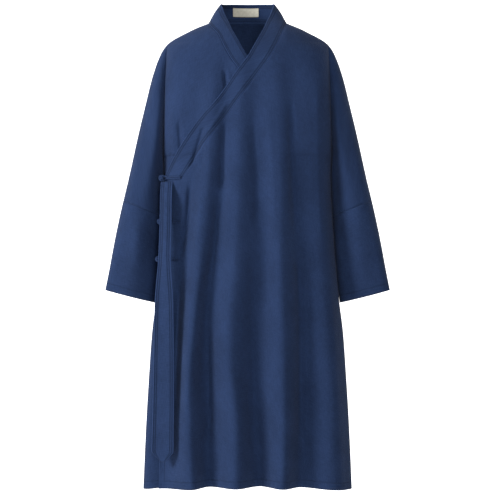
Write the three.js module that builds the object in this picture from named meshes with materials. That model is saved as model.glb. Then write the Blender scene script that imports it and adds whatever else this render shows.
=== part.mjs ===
// A crossover long robe of plain navy cloth, hollow, as it hangs from the neck and shoulders of a
// general figure. Millimetres, +Z up, the front faces -Y. The origin is the middle of the neck's base,
// level with the tops of the shoulder seams. Each cut piece of cloth is one closed wall of even
// thickness, made from a middle surface that is worked out from the sizes below.

import * as THREE from 'three';

// Driving dimensions
const CLOTH = 1.5;                  // wall of the body cloth
const BAND = 2.5;                   // wall of the doubled collar band
const RIBBON = 2;                   // wall of the doubled ribbon
const LABEL = 1;                    // wall of the woven label
const SEAM_GAP = 0.3;               // between two pieces at a seam, or one lying on another
const LAYER_GAP = 7.5;              // from the inner front to the outer front over it

const NECK_HALF = 97;               // half width of the neck's base
const NECK_BACK = 66;               // how far back the neck seam reaches
const NECK_RISE = 11;               // height of the neck seam at the back
const COLLAR_STAND = 46;            // height of the collar at the back
const COLLAR_BOW = 4;               // how far the standing collar bows out between its edges
const INNER_BAND_CUT = 13;          // by how much the band on the inner front is narrower
const TIP_X = 200;                  // shoulder tip, the top of the armhole line
const TIP_Z = -52;
const UNDERARM_X = 210;             // underarm point, the bottom of the armhole line
const UNDERARM_Z = -332;
const ARMHOLE_DEPTH = 34;           // half depth of the sleeve where it leaves the body
const ROLL_NECK = 130;              // height over which the cloth rolls off the shoulder, at the neck
const ROLL_TIP = 70;                // the same at the shoulder tip
const BAND_END_Z = -385;            // lower end of the outer collar band
const SLIT_Z = -690;                // top of both side slits
// Hems: the height in the middle, and how much lower the side seams hang
const HEM_OUTER = { middle: -1146, sag: 12 };
const HEM_INNER = { middle: -1142, sag: 16 };
const HEM_BACK = { middle: -1154, sag: 4 };
const HEM_HALF = 257;               // half width of the robe at the hem
const INNER_EDGE_X = 46;            // free edge of the inner front
const OUTER_EDGE = { top: -204, bottom: -219 };   // free edge of the outer front
const BAND_FOOT_X = { top: -157, bottom: -178 };  // line below the band's lower corner
const SECTION_POWER = 2.4;          // roundness of the body's section
const SECTION_ROOT = 2.2;
const BACK_WAVE = 0.8;              // depth of the back's folds beside the front's
const LABEL_CLEAR = 1;              // from the label to the curve of the collar behind it

// Heights of the rows of a panel, from the shoulder seam down
const ROLL_ANGLES = [0, 15, 32, 50, 70, 90];
const CHEST_STEPS = [0.2, 0.4, 0.6, 0.8, 0.93, 1];
const SIDE_CROWD = 1.6;             // how strongly columns crowd towards the body's sides
const SLIT_TUCK = 0.03;             // how far the outer front's slit edge is drawn in, as a share of its x
const BODY_ROWS = [BAND_END_Z, -440, -520, -600, SLIT_Z, -765, -850, -940, -1045];

// Tables with one row for each section, each sorted downwards by its first column, z
const BODY_SECTIONS = table(['z', 'half', 'front', 'back', 'wave', 'slit'], [
  [-52, 200, 106, 98, 0, 0],
  [-150, 204, 108, 100, 3, 0],
  [-332, 210, 110, 95, 7, 0],
  [-385, 208, 109, 94, 9, 0],
  [-500, 213, 104, 93, 12, 0],
  [-690, 228, 96, 92, 18, 0],
  [-765, 237, 93, 91, 20, 6],
  [-880, 245, 90, 90, 23, 11],
  [-1000, 252, 88, 89, 25, 13],
  [-1160, 259, 85, 88, 27, 14],
]);
const SHOULDER_LINE = table(['x', 'z'], [
  [97, 0], [134, -15], [154, -25], [174, -35], [191, -45], [200, -52],
]);
const OVERARM_LINE = table(['z', 'x'], [
  [-52, 200], [-65, 210], [-85, 220], [-127, 235], [-202, 254], [-277, 272], [-390, 297],
  [-465, 315], [-540, 331], [-615, 345], [-665, 355],
]);
// Vertical folds: x of each line, in turn a valley and a ridge, that the front's cloth falls in
const FOLD_NAMES = ['valley1', 'ridge1', 'valley2', 'ridge2', 'valley3', 'ridge3', 'valley4', 'ridge4'];
const FRONT_FOLDS = table(['z', ...FOLD_NAMES], [
  [-190, -124, -84, -51, -14, 21, 69, 114, 181],
  [-390, -136, -99, -61, -24, 29, 79, 121, 186],
  [-590, -159, -119, -79, -29, 36, 81, 134, 199],
  [-790, -181, -136, -104, -46, 21, 86, 139, 212],
  [-990, -201, -144, -99, -29, 24, 89, 139, 222],
  [-1160, -215, -136, -94, -28, 32, 86, 132, 228],
]);
const BACK_FOLDS = table(['z', ...FOLD_NAMES], [
  [-190, -150, -96, -52, -14, 30, 72, 112, 160],
  [-700, -178, -118, -64, -8, 34, 92, 140, 196],
  [-1160, -204, -140, -78, -16, 42, 102, 160, 222],
]);
// Sleeve sections: heights of the outer and inner points, the half depth between them, and how far
// back the inner point lies
const SLEEVE_UPPER = table(['step', 'outer', 'inner', 'depth', 'back'], [
  [0, -52, -332, 34, 0], [1, -60, -334, 41, 0], [2, -76, -340, 49, 2], [3, -106, -352, 56, 7],
  [4, -160, -374, 61, 13], [5, -225, -400, 62, 18], [6, -295, -428, 62, 21], [7, -368, -454, 62, 22],
  [8, -443, -480, 62, 22],
]);
const SLEEVE_LOWER = table(['step', 'outer', 'inner', 'depth', 'back'], [
  [0, -443, -480, 62, 22], [1, -486, -522, 60, 23], [2, -530, -566, 55, 23], [3, -575, -610, 48, 22],
  [4, -620, -653, 40, 20], [5, -665, -697, 31, 16],
]);
const SLEEVE_INNER = table(['z', 'x'], [
  [-332, 210], [-336, 211.4], [-345, 212.2], [-374, 212.4], [-428, 212.5], [-480, 213.5], [-566, 219],
  [-653, 227], [-697, 233],
]);
// The seam of the collar band on the front, and the band's free edge beside each height of the seam
const BAND_SEAM = table(['z', 'x'], [
  [0, 97], [-12, 93.5], [-25.7, 87.5], [-60, 73.5], [-95, 55], [-120, 37], [-160, 6.5], [-190, -16.5],
  [-232, -46.5], [-267, -73.5], [-300, -99.5], [-341, -127], [BAND_END_Z, BAND_FOOT_X.top],
]);
const BAND_EDGE = table(['seam', 'x', 'y', 'z'], [
  [0, 61.5, -10, 38], [-4.4, 56, -24, 21], [-17.4, 48, -43, 3], [-38, 39, -66, -20], [-65, 26, -88, -45],
  [-95, 12.5, -101, -70], [-120, 0, 0, -92.4], [-160, -29, 0, -131], [-190, -49.5, 0, -162],
  [-232, -80.5, 0, -203.5], [-267, -112.5, 0, -237.5], [-300, -137, 0, -269.5], [-341, -167, 0, -313.5],
  [-364, -186, 0, -346], [BAND_END_Z, OUTER_EDGE.top, 0, -384],
]);
const BAND_ON_CHEST = -70;          // below this seam height the band lies on the chest
const COLLAR_BACK = table(['turn', 'x', 'y', 'z'], [
  [0, 0, 58, 57], [15, 18, 56.5, 57], [30, 35, 51.5, 56.5], [45, 50, 42.5, 55], [60, 61, 28.5, 53],
  [75, 66, 8, 50.5],
]);
const NECK_LABEL = { left: -37, right: 28, bottom: 26, top: 47.5 };
// The ribbon's middle line, its width, and how far its left edge is behind its right edge
const RIBBON_LINE = table(['z', 'x', 'y', 'width', 'turn'], [
  [-396, -199, -61.4, 30, 9], [-430, -200, -80, 30, 9], [-495, -200.5, -90, 30, 8], [-590, -203, -93, 32, 7],
  [-680, -204, -93, 45, 6], [-800, -204.5, -91, 50, 5], [-950, -206, -89, 53, 5], [-1060, -208, -88, 55, 5],
]);
const RIBBON_POINT = 24;            // length of its pointed end
const CORD = 1.7;                   // radius of the loop cord
const KNOT = 5.5;                   // radius of a knot
const NOSE = 6.3;                   // radius of the loop round its knot
const FROGS = table(['z', 'knot', 'end'], [[-387.5, -209, -163], [-495, -213, -166], [-587.5, -218, -172]]);

const NAVY = 0x27375a;
const NAVY_LIGHT = 0x2c3d62;
const CREAM = 0xd9d2c2;

// A table becomes a list of records with named columns
function table(columns, rows) {
  return rows.map((row) => Object.fromEntries(columns.map((column, i) => [column, row[i]])));
}

// Value of a column at a place between the rows of a table, on a smooth curve through them
function along(rows, key, at, column) {
  const falling = rows[rows.length - 1][key] < rows[0][key];
  const place = (row) => (falling ? -row[key] : row[key]);
  const target = falling ? -at : at;
  const last = rows.length - 1;
  if (target <= place(rows[0])) return rows[0][column];
  if (target >= place(rows[last])) return rows[last][column];
  let i = 0;
  while (place(rows[i + 1]) < target) i += 1;
  const slope = (a, b) => (rows[b][column] - rows[a][column]) / (place(rows[b]) - place(rows[a]));
  const tangent = (k) => {
    if (k === 0) return slope(0, 1);
    if (k === last) return slope(last - 1, last);
    return (slope(k - 1, k) + slope(k, k + 1)) / 2;
  };
  const width = place(rows[i + 1]) - place(rows[i]);
  const t = (target - place(rows[i])) / width;
  const keep = 2 * t ** 3 - 3 * t ** 2 + 1;
  return keep * rows[i][column] + (1 - keep) * rows[i + 1][column]
    + (t ** 3 - 2 * t ** 2 + t) * width * tangent(i) + (t ** 3 - t ** 2) * width * tangent(i + 1);
}

const mix = (a, b, t) => a + (b - a) * t;
const ease = (t) => t * t * (3 - 2 * t);
const clamp = (t) => Math.min(1, Math.max(0, t));

// The body: where its sides are, and how deep it is at any x and z
function bodyHalf(z) {
  if (z >= TIP_Z) return TIP_X;
  if (z >= UNDERARM_Z) return mix(TIP_X, UNDERARM_X, (TIP_Z - z) / (TIP_Z - UNDERARM_Z));
  return along(BODY_SECTIONS, 'z', z, 'half');
}

function sideDepth(z) {
  if (z > TIP_Z || z < SLIT_Z) return z > TIP_Z ? 0 : along(BODY_SECTIONS, 'z', z, 'slit');
  if (z < UNDERARM_Z) return 0;
  const height = (z - (TIP_Z + UNDERARM_Z) / 2) / ((TIP_Z - UNDERARM_Z) / 2);
  return ARMHOLE_DEPTH * Math.sqrt(Math.max(0, 1 - height * height));
}

function roundness(s) {
  return (1 - Math.min(1, Math.abs(s)) ** SECTION_POWER) ** (1 / SECTION_ROOT);
}

// +1 on a ridge and -1 in a valley, and level again at the body's sides
function foldWave(folds, x, z, half) {
  const names = Object.keys(folds[0]).filter((name) => name !== 'z');
  const lines = names.map((name) => along(folds, 'z', z, name));
  const heights = names.map((name) => (name.startsWith('ridge') ? 1 : -1));
  const places = [-half, ...lines, half];
  const levels = [0, ...heights, 0];
  if (x <= places[0] || x >= half) return 0;
  let i = 0;
  while (places[i + 1] < x) i += 1;
  return mix(levels[i], levels[i + 1], ease((x - places[i]) / (places[i + 1] - places[i])));
}

function rollHeight(x) {
  return mix(ROLL_NECK, ROLL_TIP, clamp((Math.abs(x) - NECK_HALF) / (TIP_X - NECK_HALF)));
}

function shoulderTop(x) {
  return Math.abs(x) <= NECK_HALF ? 0 : along(SHOULDER_LINE, 'x', Math.abs(x), 'z');
}

// How far the cloth has rolled off the shoulder seam at a point: 0 on the seam, 1 below the roll
function rollShare(x, z) {
  const drop = clamp((shoulderTop(x) - z) / rollHeight(x));
  return Math.sqrt(1 - (1 - drop) ** 2);
}

// y of the fronts' middle surface. The outer front lies over the inner one, and also reaches
// further round the side on which its free edge is.
function frontDepth(x, z, outer) {
  const below = clamp((TIP_Z - z) / 60);
  const half = bodyHalf(z) + (outer && x < 0 ? (LAYER_GAP + 2) * below : 0);
  const depth = along(BODY_SECTIONS, 'z', z, 'front') + (outer ? LAYER_GAP : 0);
  const bulge = roundness(x / half);
  const wave = along(BODY_SECTIONS, 'z', z, 'wave') * foldWave(FRONT_FOLDS, x, z, half) * bulge;
  return -((depth * bulge + wave) * rollShare(x, z) + sideDepth(z) * (1 - bulge));
}

// A sheet of cloth without thickness: patches that share their edges' vertices
class Sheet {
  constructor(thickness) {
    this.thickness = thickness;
    this.points = [];
    this.faces = [];
    this.index = new Map();
  }

  vertex(point) {
    const key = point.toArray().map((value) => Math.round(value * 1000)).join(' ');
    if (!this.index.has(key)) {
      this.index.set(key, this.points.length);
      this.points.push(point.clone());
    }
    return this.index.get(key);
  }

  triangle(a, b, c) {
    if (a !== b && b !== c && c !== a) this.faces.push([a, b, c]);
  }

  // place(row, column) gives the point. Rows run down and columns to the right, seen from the
  // side that faces out, unless the patch is turned over.
  patch(rows, columns, place, turned = false) {
    const rings = [];
    for (let i = 0; i <= rows; i += 1) {
      const ring = [];
      for (let j = 0; j <= columns; j += 1) ring.push(this.vertex(place(i, turned ? columns - j : j)));
      rings.push(ring);
    }
    for (let i = 0; i < rows; i += 1) {
      for (let j = 0; j < columns; j += 1) {
        const [a, b, c, d] = [rings[i][j], rings[i + 1][j], rings[i + 1][j + 1], rings[i][j + 1]];
        const span = (p, q) => this.points[p].distanceTo(this.points[q]);
        if (span(a, c) <= span(b, d)) {
          this.triangle(a, b, c);
          this.triangle(a, c, d);
        } else {
          this.triangle(a, b, d);
          this.triangle(b, c, d);
        }
      }
    }
    return this;
  }

  // Each vertex's direction out, and the neighbours of the vertices along the free edges
  measure() {
    this.normals = this.points.map(() => new THREE.Vector3());
    const edges = new Map();
    for (const face of this.faces) {
      const [a, b, c] = face.map((i) => this.points[i]);
      const normal = b.clone().sub(a).cross(c.clone().sub(a)).normalize();
      face.forEach((at, k) => {
        const here = this.points[at];
        const ahead = this.points[face[(k + 1) % 3]].clone().sub(here);
        const behind = this.points[face[(k + 2) % 3]].clone().sub(here);
        this.normals[at].addScaledVector(normal, ahead.angleTo(behind));
        edges.set(`${at} ${face[(k + 1) % 3]}`, [at, face[(k + 1) % 3]]);
      });
    }
    this.normals.forEach((normal) => normal.normalize());
    this.edges = [...edges.values()].filter(([a, b]) => !edges.has(`${b} ${a}`));
    this.next = new Map(this.edges);
    this.previous = new Map(this.edges.map(([a, b]) => [b, a]));
  }

  // Into the sheet from an edge vertex, long enough to move both edges there back by 1
  inward(at) {
    const across = (a, b) => {
      const along = this.points[b].clone().sub(this.points[a]);
      return this.normals[at].clone().cross(along).normalize();
    };
    const one = across(this.previous.get(at), at);
    const two = across(at, this.next.get(at));
    return one.clone().add(two).multiplyScalar(1 / Math.max(0.5, 1 + one.dot(two)));
  }

  // The closed wall on both sides of the sheet
  wall() {
    const half = this.thickness / 2;
    const outside = this.points.map((p, i) => p.clone().addScaledVector(this.normals[i], half));
    const inside = this.points.map((p, i) => p.clone().addScaledVector(this.normals[i], -half));
    const count = this.points.length;
    const triangles = [];
    for (const [a, b, c] of this.faces) triangles.push(a, b, c, a + count, c + count, b + count);
    for (const [a, b] of this.edges) {
      // The same corner to corner split on both sides of a seam keeps its gap even
      if (this.points[a].z > this.points[b].z) triangles.push(b, a, b + count, a, a + count, b + count);
      else triangles.push(b, a, a + count, b, a + count, b + count);
    }
    const geometry = new THREE.BufferGeometry();
    geometry.setAttribute('position', new THREE.Float32BufferAttribute(
      [...outside, ...inside].flatMap((p) => p.toArray()), 3));
    geometry.setIndex(triangles);
    return geometry;
  }
}

// Opens the seams. Front and back meet in the plane y = 0, where their edges are made square to it.
// Elsewhere two edges that share a vertex share its direction out too, and each moves back.
function openSeams(sheets) {
  const edgePoints = [];
  for (const sheet of sheets) {
    sheet.measure();
    for (const at of sheet.next.keys()) edgePoints.push({ sheet, at, point: sheet.points[at].clone() });
  }
  for (const { sheet, at, point } of edgePoints) {
    if (!sheet.seamSide || Math.abs(point.y) > 0.01) continue;
    const normal = sheet.normals[at];
    normal.y = 0;
    if (normal.length() < 0.3) normal.set(0, sheet.seamSide, 0);
    normal.normalize();
  }
  const moves = [];
  for (const { sheet, at, point } of edgePoints) {
    const partners = edgePoints.filter((other) => (
      other.sheet !== sheet && other.point.distanceTo(point) < 0.02
    ));
    const shared = sheet.normals[at].clone();
    for (const other of partners) shared.add(other.sheet.normals[other.at]);
    const onSeamPlane = sheet.seamSide && Math.abs(point.y) < 0.01;
    if (partners.length === 0 && !onSeamPlane) continue;
    const facing = shared.length() < 0.5;
    const normal = facing ? sheet.normals[at].clone() : shared.normalize();
    moves.push({ sheet, at, facing, onSeamPlane, normal });
  }
  for (const { sheet, at, normal } of moves) sheet.normals[at] = normal;
  for (const move of moves) {
    const { sheet, at, facing, normal } = move;
    move.by = facing
      ? normal.clone().multiplyScalar((sheet.thickness + SEAM_GAP) / 2)
      : sheet.inward(at).multiplyScalar(SEAM_GAP / 2);
    if (move.onSeamPlane) move.by.y = (sheet.seamSide * SEAM_GAP) / 2;
  }
  for (const { sheet, at, by } of moves) sheet.points[at].add(by);
}

// Rows of the fronts and the back from the shoulder seam to the hem
const ROLL_ROWS = ROLL_ANGLES.length - 1;
const CHEST_ROWS = ROLL_ROWS + CHEST_STEPS.length;

function rowHeight(row, x, hem) {
  const top = shoulderTop(x);
  if (row <= ROLL_ROWS) {
    const angle = THREE.MathUtils.degToRad(ROLL_ANGLES[row]);
    return top - rollHeight(x) * (1 - Math.cos(angle));
  }
  if (row <= CHEST_ROWS) return mix(top - rollHeight(x), UNDERARM_Z, CHEST_STEPS[row - ROLL_ROWS - 1]);
  if (row === LAST_ROW) return hem.middle - hem.sag * (x / HEM_HALF) ** 2;
  return BODY_ROWS[row - CHEST_ROWS - 1];
}

const LAST_ROW = CHEST_ROWS + BODY_ROWS.length + 1;
const BAND_END_ROW = CHEST_ROWS + BODY_ROWS.indexOf(BAND_END_Z) + 1;

// Columns between two lines: the lines' names or places, and how many cells lie between them
function spread(stops, at) {
  const places = [at(stops[0].line)];
  for (let k = 1; k < stops.length; k += 1) {
    const from = at(stops[k - 1].line);
    const to = at(stops[k].line);
    for (let n = 1; n <= stops[k].cells; n += 1) {
      const share = n / stops[k].cells;
      const bend = stops[k].line === 'right' ? 1 - (1 - share) ** SIDE_CROWD : share;
      places.push(mix(from, to, stops[k - 1].line === 'left' ? share ** SIDE_CROWD : bend));
    }
  }
  return places;
}

// Positions across a panel above the waist: even at the shoulder, on the fold lines lower down
function columnsAt(row, lower, left, right, lastUpperRow) {
  const base = lower[0];
  const width = lower[lower.length - 1] - base;
  const turn = ease(clamp(row / lastUpperRow));
  return lower.map((place, j) => {
    const share = mix(j / (lower.length - 1), (place - base) / width, turn);
    return mix(left, right, share);
  });
}

const OUTER_STOPS = [
  { line: 'foot' }, { line: 'ridge1', cells: 3 }, { line: 'valley2', cells: 3 }, { line: 'ridge2', cells: 3 },
  { line: 'valley3', cells: 3 }, { line: 'ridge3', cells: 3 }, { line: 'valley4', cells: 3 },
  { line: 'ridge4', cells: 3 }, { line: 'right', cells: 3 },
];
const INNER_STOPS = [
  { line: 'left' }, { line: 'valley1', cells: 4 }, { line: 'ridge1', cells: 3 }, { line: 'valley2', cells: 3 },
  { line: 'ridge2', cells: 3 }, { line: 'valley3', cells: 3 }, { line: 'edge', cells: 1 },
];
const BACK_STOPS = [
  { line: 'left' }, { line: 'valley1', cells: 4 }, { line: 'ridge1', cells: 2 }, { line: 'valley2', cells: 3 },
  { line: 'ridge2', cells: 3 }, { line: 'valley3', cells: 3 }, { line: 'ridge3', cells: 3 },
  { line: 'valley4', cells: 3 }, { line: 'ridge4', cells: 2 }, { line: 'right', cells: 3 },
];

const cellCount = (stops) => stops.reduce((sum, stop) => sum + (stop.cells ?? 0), 0);
const OUTER_COLUMNS = cellCount(OUTER_STOPS);
const INNER_COLUMNS = cellCount(INNER_STOPS);
const INNER_BAND_ROWS = ROLL_ROWS + 2;            // rows that end on the inner front's band
const BAND_CUT_FADE = 45;                         // height over which that band narrows

function footX(z) {
  return mix(BAND_FOOT_X.top, BAND_FOOT_X.bottom, clamp((BAND_END_Z - z) / (BAND_END_Z - HEM_OUTER.middle)));
}

function outerEdgeX(z) {
  return mix(OUTER_EDGE.top, OUTER_EDGE.bottom, clamp((BAND_END_Z - z) / (BAND_END_Z - HEM_OUTER.middle)));
}

function foldPlace(folds, z, extra) {
  const half = bodyHalf(z);
  return (name) => {
    if (name === 'left') return -half;
    if (name === 'right') return half;
    return name in extra ? extra[name] : along(folds, 'z', z, name);
  };
}

// Height and x of a panel's point: its z depends on x near the shoulder, so both settle together
function settle(row, hem, xAt) {
  let z = rowHeight(row, 0, hem);
  let x = 0;
  for (let n = 0; n < 6; n += 1) {
    x = xAt(z);
    z = rowHeight(row, x, hem);
  }
  return [x, z];
}

const slitShift = (z) => along(BODY_SECTIONS, 'z', z, 'slit') * (z < SLIT_Z ? 1 : 0);

function outerPoint(row, column) {
  const lower = (z) => spread(OUTER_STOPS, foldPlace(FRONT_FOLDS, z, { foot: footX(z) }));
  const [x, z] = settle(row, HEM_OUTER, (height) => {
    if (row >= BAND_END_ROW) return lower(height)[column];
    const left = along(BAND_SEAM, 'z', height, 'x');
    return columnsAt(row, lower(BAND_END_Z), left, bodyHalf(height), BAND_END_ROW)[column];
  });
  const open = slitShift(z) / slitShift(HEM_OUTER.middle);
  const inset = x > 0 ? 1 - SLIT_TUCK * open * (x / bodyHalf(z)) ** 6 : 1;
  return new THREE.Vector3(x * inset, frontDepth(x, z, true), z);
}

function innerPoint(row, column) {
  const lower = (z) => spread(INNER_STOPS, foldPlace(FRONT_FOLDS, z, { edge: INNER_EDGE_X }));
  const [x, z] = settle(row, HEM_INNER, (height) => {
    if (row > INNER_BAND_ROWS) {
      const turn = clamp((row - INNER_BAND_ROWS) / (BAND_END_ROW - INNER_BAND_ROWS));
      const even = mix(-bodyHalf(height), INNER_EDGE_X, column / (lower(height).length - 1));
      return mix(even, lower(height)[column], turn);
    }
    const seam = INNER_BAND_CUT * ease(clamp(-height / BAND_CUT_FADE)) - along(BAND_SEAM, 'z', height, 'x');
    return mix(-bodyHalf(height), seam, column / (lower(height).length - 1));
  });
  return new THREE.Vector3(x, frontDepth(x, z, false), z);
}

// The back's neck edge, at a turn from 0 at the middle to 90 degrees at the side of the neck
function neckSeam(turn) {
  const angle = THREE.MathUtils.degToRad(turn);
  const along = Math.cos(angle);
  return new THREE.Vector3(NECK_HALF * Math.sin(angle), NECK_BACK * along, NECK_RISE * along);
}

const SHOULDER_CELLS = 7;
const NECK_TURNS = [-90, -75, -60, -45, -30, -15, 0, 15, 30, 45, 60, 75, 90];

function backTops() {
  const side = (n) => mix(NECK_HALF, TIP_X, n / SHOULDER_CELLS);
  const tops = [];
  for (let n = SHOULDER_CELLS; n > 0; n -= 1) tops.push(new THREE.Vector3(-side(n), 0, shoulderTop(side(n))));
  for (const turn of NECK_TURNS) {
    const point = neckSeam(Math.abs(turn));
    tops.push(turn < 0 ? point.setX(-point.x) : point);
  }
  for (let n = 1; n <= SHOULDER_CELLS; n += 1) tops.push(new THREE.Vector3(side(n), 0, shoulderTop(side(n))));
  return tops;
}
const BACK_TOPS = backTops();

function backPoint(row, column) {
  const top = BACK_TOPS[column];
  const lower = (z) => spread(BACK_STOPS, foldPlace(BACK_FOLDS, z, {}));
  const xAt = (height) => {
    if (row === 0) return top.x;
    if (row >= BAND_END_ROW) return lower(height)[column];
    const turn = ease(row / BAND_END_ROW);
    return mix(top.x / TIP_X, lower(BAND_END_Z)[column] / bodyHalf(BAND_END_Z), turn) * bodyHalf(height);
  };
  if (row === 0) return top.clone();
  let [x, z] = settle(row, HEM_BACK, xAt);
  const half = bodyHalf(z);
  const bulge = roundness(x / half);
  const depth = along(BODY_SECTIONS, 'z', z, 'back');
  let roll = 1;
  if (row <= ROLL_ROWS) {
    const start = Math.asin(Math.min(1, top.y / depth));
    const angle = mix(start, Math.PI / 2, ROLL_ANGLES[row] / 90);
    z = top.z - rollHeight(x) * (1 - Math.cos(angle) / Math.cos(start));
    if (Math.abs(top.x) >= TIP_X - 0.01) z = rowHeight(row, x, HEM_BACK);
    roll = Math.sin(angle);
  }
  const wave = along(BODY_SECTIONS, 'z', z, 'wave') * foldWave(BACK_FOLDS, x, z, half) * bulge * BACK_WAVE;
  return new THREE.Vector3(x, (depth * bulge + wave) * roll + sideDepth(z) * (1 - bulge), z);
}

// Sleeves. The turn round a sleeve is 0 at the overarm seam and pi at the underarm seam.
const ARMHOLE_TURNS = [];
for (let row = 0; row <= CHEST_ROWS; row += 1) {
  const z = rowHeight(row, TIP_X, 0);
  const middle = (TIP_Z + UNDERARM_Z) / 2;
  const half = (TIP_Z - UNDERARM_Z) / 2;
  ARMHOLE_TURNS.push(Math.acos(Math.min(1, Math.max(-1, (z - middle) / half))));
}

function sleevePoint(section, turn, side, face) {
  const outer = new THREE.Vector3(along(OVERARM_LINE, 'z', section.outer, 'x'), 0, section.outer);
  const inner = new THREE.Vector3(along(SLEEVE_INNER, 'z', section.inner, 'x'), 0, section.inner);
  const middle = outer.clone().add(inner).multiplyScalar(0.5);
  const point = middle.addScaledVector(outer.sub(inner), Math.cos(turn) / 2);
  point.y = face * section.depth * Math.sin(turn) + (section.back * (1 - Math.cos(turn))) / 2;
  point.x *= side;
  return point;
}

// The upper sleeve shares the armhole line with its panel, so its first ring is the panel's edge
function upperSleeve(sheet, side, face, armholePoint) {
  const place = (row, column) => {
    if (column === 0) return armholePoint(row);
    return sleevePoint(SLEEVE_UPPER[column], ARMHOLE_TURNS[row], side, face);
  };
  sheet.patch(CHEST_ROWS, SLEEVE_UPPER.length - 1, place, side * face > 0);
}

function sleeveEnd(side) {
  const turns = [...ARMHOLE_TURNS.map((turn) => -turn), ...ARMHOLE_TURNS.slice(1, -1).reverse()];
  const sheet = new Sheet(CLOTH);
  const place = (row, column) => {
    const turn = turns[column % turns.length];
    return sleevePoint(SLEEVE_LOWER[row], Math.abs(turn), side, turn < 0 || column === 0 ? -1 : 1);
  };
  return sheet.patch(SLEEVE_LOWER.length - 1, turns.length, place, side > 0);
}

// Panels
function frontOuter() {
  const sheet = new Sheet(CLOTH);
  sheet.seamSide = -1;
  sheet.patch(LAST_ROW, OUTER_COLUMNS, outerPoint);
  sheet.patch(LAST_ROW - BAND_END_ROW, BAND_CELLS, (row, column) => {
    if (column === BAND_CELLS) return outerPoint(row + BAND_END_ROW, 0);
    if (row === 0) return bandPoint(outerPoint(BAND_END_ROW, 0), 1 - column / BAND_CELLS, true);
    const [x, z] = settle(row + BAND_END_ROW, HEM_OUTER, (height) => (
      mix(outerEdgeX(height), footX(height), column / BAND_CELLS)));
    return new THREE.Vector3(x, frontDepth(x, z, true), z);
  });
  upperSleeve(sheet, 1, -1, (row) => outerPoint(row, OUTER_COLUMNS));
  return sheet;
}

function frontInner() {
  const sheet = new Sheet(CLOTH);
  sheet.seamSide = -1;
  sheet.patch(LAST_ROW, INNER_COLUMNS, innerPoint);
  upperSleeve(sheet, -1, -1, (row) => innerPoint(row, 0));
  return sheet;
}

function back() {
  const sheet = new Sheet(CLOTH);
  sheet.seamSide = 1;
  const columns = BACK_TOPS.length - 1;
  sheet.patch(LAST_ROW, columns, backPoint, true);
  upperSleeve(sheet, 1, 1, (row) => backPoint(row, columns));
  upperSleeve(sheet, -1, 1, (row) => backPoint(row, 0));
  return sheet;
}

// The collar band, from its seam (share 0) to its free edge (share 1)
const BAND_CELLS = 3;

function bandPoint(seam, share, outer) {
  if (share === 0) return seam;
  const side = outer ? 1 : -1;
  const x = mix(seam.x, side * along(BAND_EDGE, 'seam', seam.z, 'x'), share);
  const z = mix(seam.z, along(BAND_EDGE, 'seam', seam.z, 'z'), share);
  const y = mix(seam.y, along(BAND_EDGE, 'seam', seam.z, 'y'), share);
  if (seam.z < BAND_ON_CHEST) return new THREE.Vector3(x, frontDepth(x, z, outer), z);
  return bowOut(new THREE.Vector3(x, y, z), seam, share, clamp(1 + seam.z / 30));
}

function bowOut(point, seam, share, keep) {
  const out = new THREE.Vector3(seam.x, seam.y, 0).normalize();
  return point.addScaledVector(out, COLLAR_BOW * Math.sin(Math.PI * share) * keep);
}

function collarBackPoint(turn, share) {
  const seam = neckSeam(Math.abs(turn));
  const row = COLLAR_BACK.find((entry) => entry.turn === Math.abs(turn));
  const edge = new THREE.Vector3(row.x, row.y, row.z);
  const point = bowOut(seam.clone().lerp(edge, share), seam, share, 1);
  return turn < 0 ? point.setX(-point.x) : point;
}

function collar() {
  const stations = [];
  for (let row = INNER_BAND_ROWS; row >= 0; row -= 1) {
    stations.push((share) => bandPoint(innerPoint(row, INNER_COLUMNS), share, false));
  }
  for (const turn of NECK_TURNS.slice(1, -1)) stations.push((share) => collarBackPoint(turn, share));
  for (let row = 0; row <= BAND_END_ROW; row += 1) {
    stations.push((share) => bandPoint(outerPoint(row, 0), share, true));
  }
  const sheet = new Sheet(BAND);
  const place = (row, column) => stations[row](column / BAND_CELLS);
  return sheet.patch(stations.length - 1, BAND_CELLS, place, true);
}

// The label lies on the inside of the collar's back
function label() {
  const sheet = new Sheet(LABEL);
  const lift = BAND / 2 + SEAM_GAP + LABEL / 2;
  const cells = 6;
  return sheet.patch(1, cells, (row, column) => {
    const x = mix(NECK_LABEL.left, NECK_LABEL.right, column / cells);
    const z = mix(NECK_LABEL.top, NECK_LABEL.bottom, row);
    const share = (z - NECK_RISE) / COLLAR_STAND;
    const lower = NECK_BACK * Math.sqrt(1 - (x / NECK_HALF) ** 2);
    const edge = along(COLLAR_BACK, 'x', Math.abs(x), 'y');
    const bow = COLLAR_BOW * Math.sin(Math.PI * share);
    return new THREE.Vector3(x, mix(lower, edge, share) + bow - lift - LABEL_CLEAR, z);
  });
}

function ribbon() {
  const sheet = new Sheet(RIBBON);
  const rows = RIBBON_LINE.length - 1;
  sheet.patch(rows, 2, (row, column) => {
    const { x, y, z, width, turn } = RIBBON_LINE[row];
    const across = column - 1;
    return new THREE.Vector3(x + (across * width) / 2, y - across * turn, z);
  });
  const { x, y, z, width, turn } = RIBBON_LINE[rows];
  sheet.patch(1, 2, (row, column) => {
    const across = (column - 1) * (row === 0 ? 1 : 0.15);
    return new THREE.Vector3(x + (across * width) / 2, y - across * turn, z - row * RIBBON_POINT);
  });
  return sheet;
}

// A loop of cord on the outer front, and the knot that it closes round. Past the front's free edge
// the loop runs on level.
const FROG_LIFT = CLOTH / 2 + SEAM_GAP + CORD + 0.4;   // a little more where the front curves
const FROG_REST = OUTER_EDGE.top + 4;
const KNOT_PROUD = 4.8;             // from the loop's middle out to the knot's
const KNOT_INSET = 6;               // from the side seam to the foot of a knot's shank
const LEG_GAP = 0.7;                // between the two legs of a loop
const NOSE_TURN = [65, 295];        // the part of a circle that the loop makes round its knot

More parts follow.
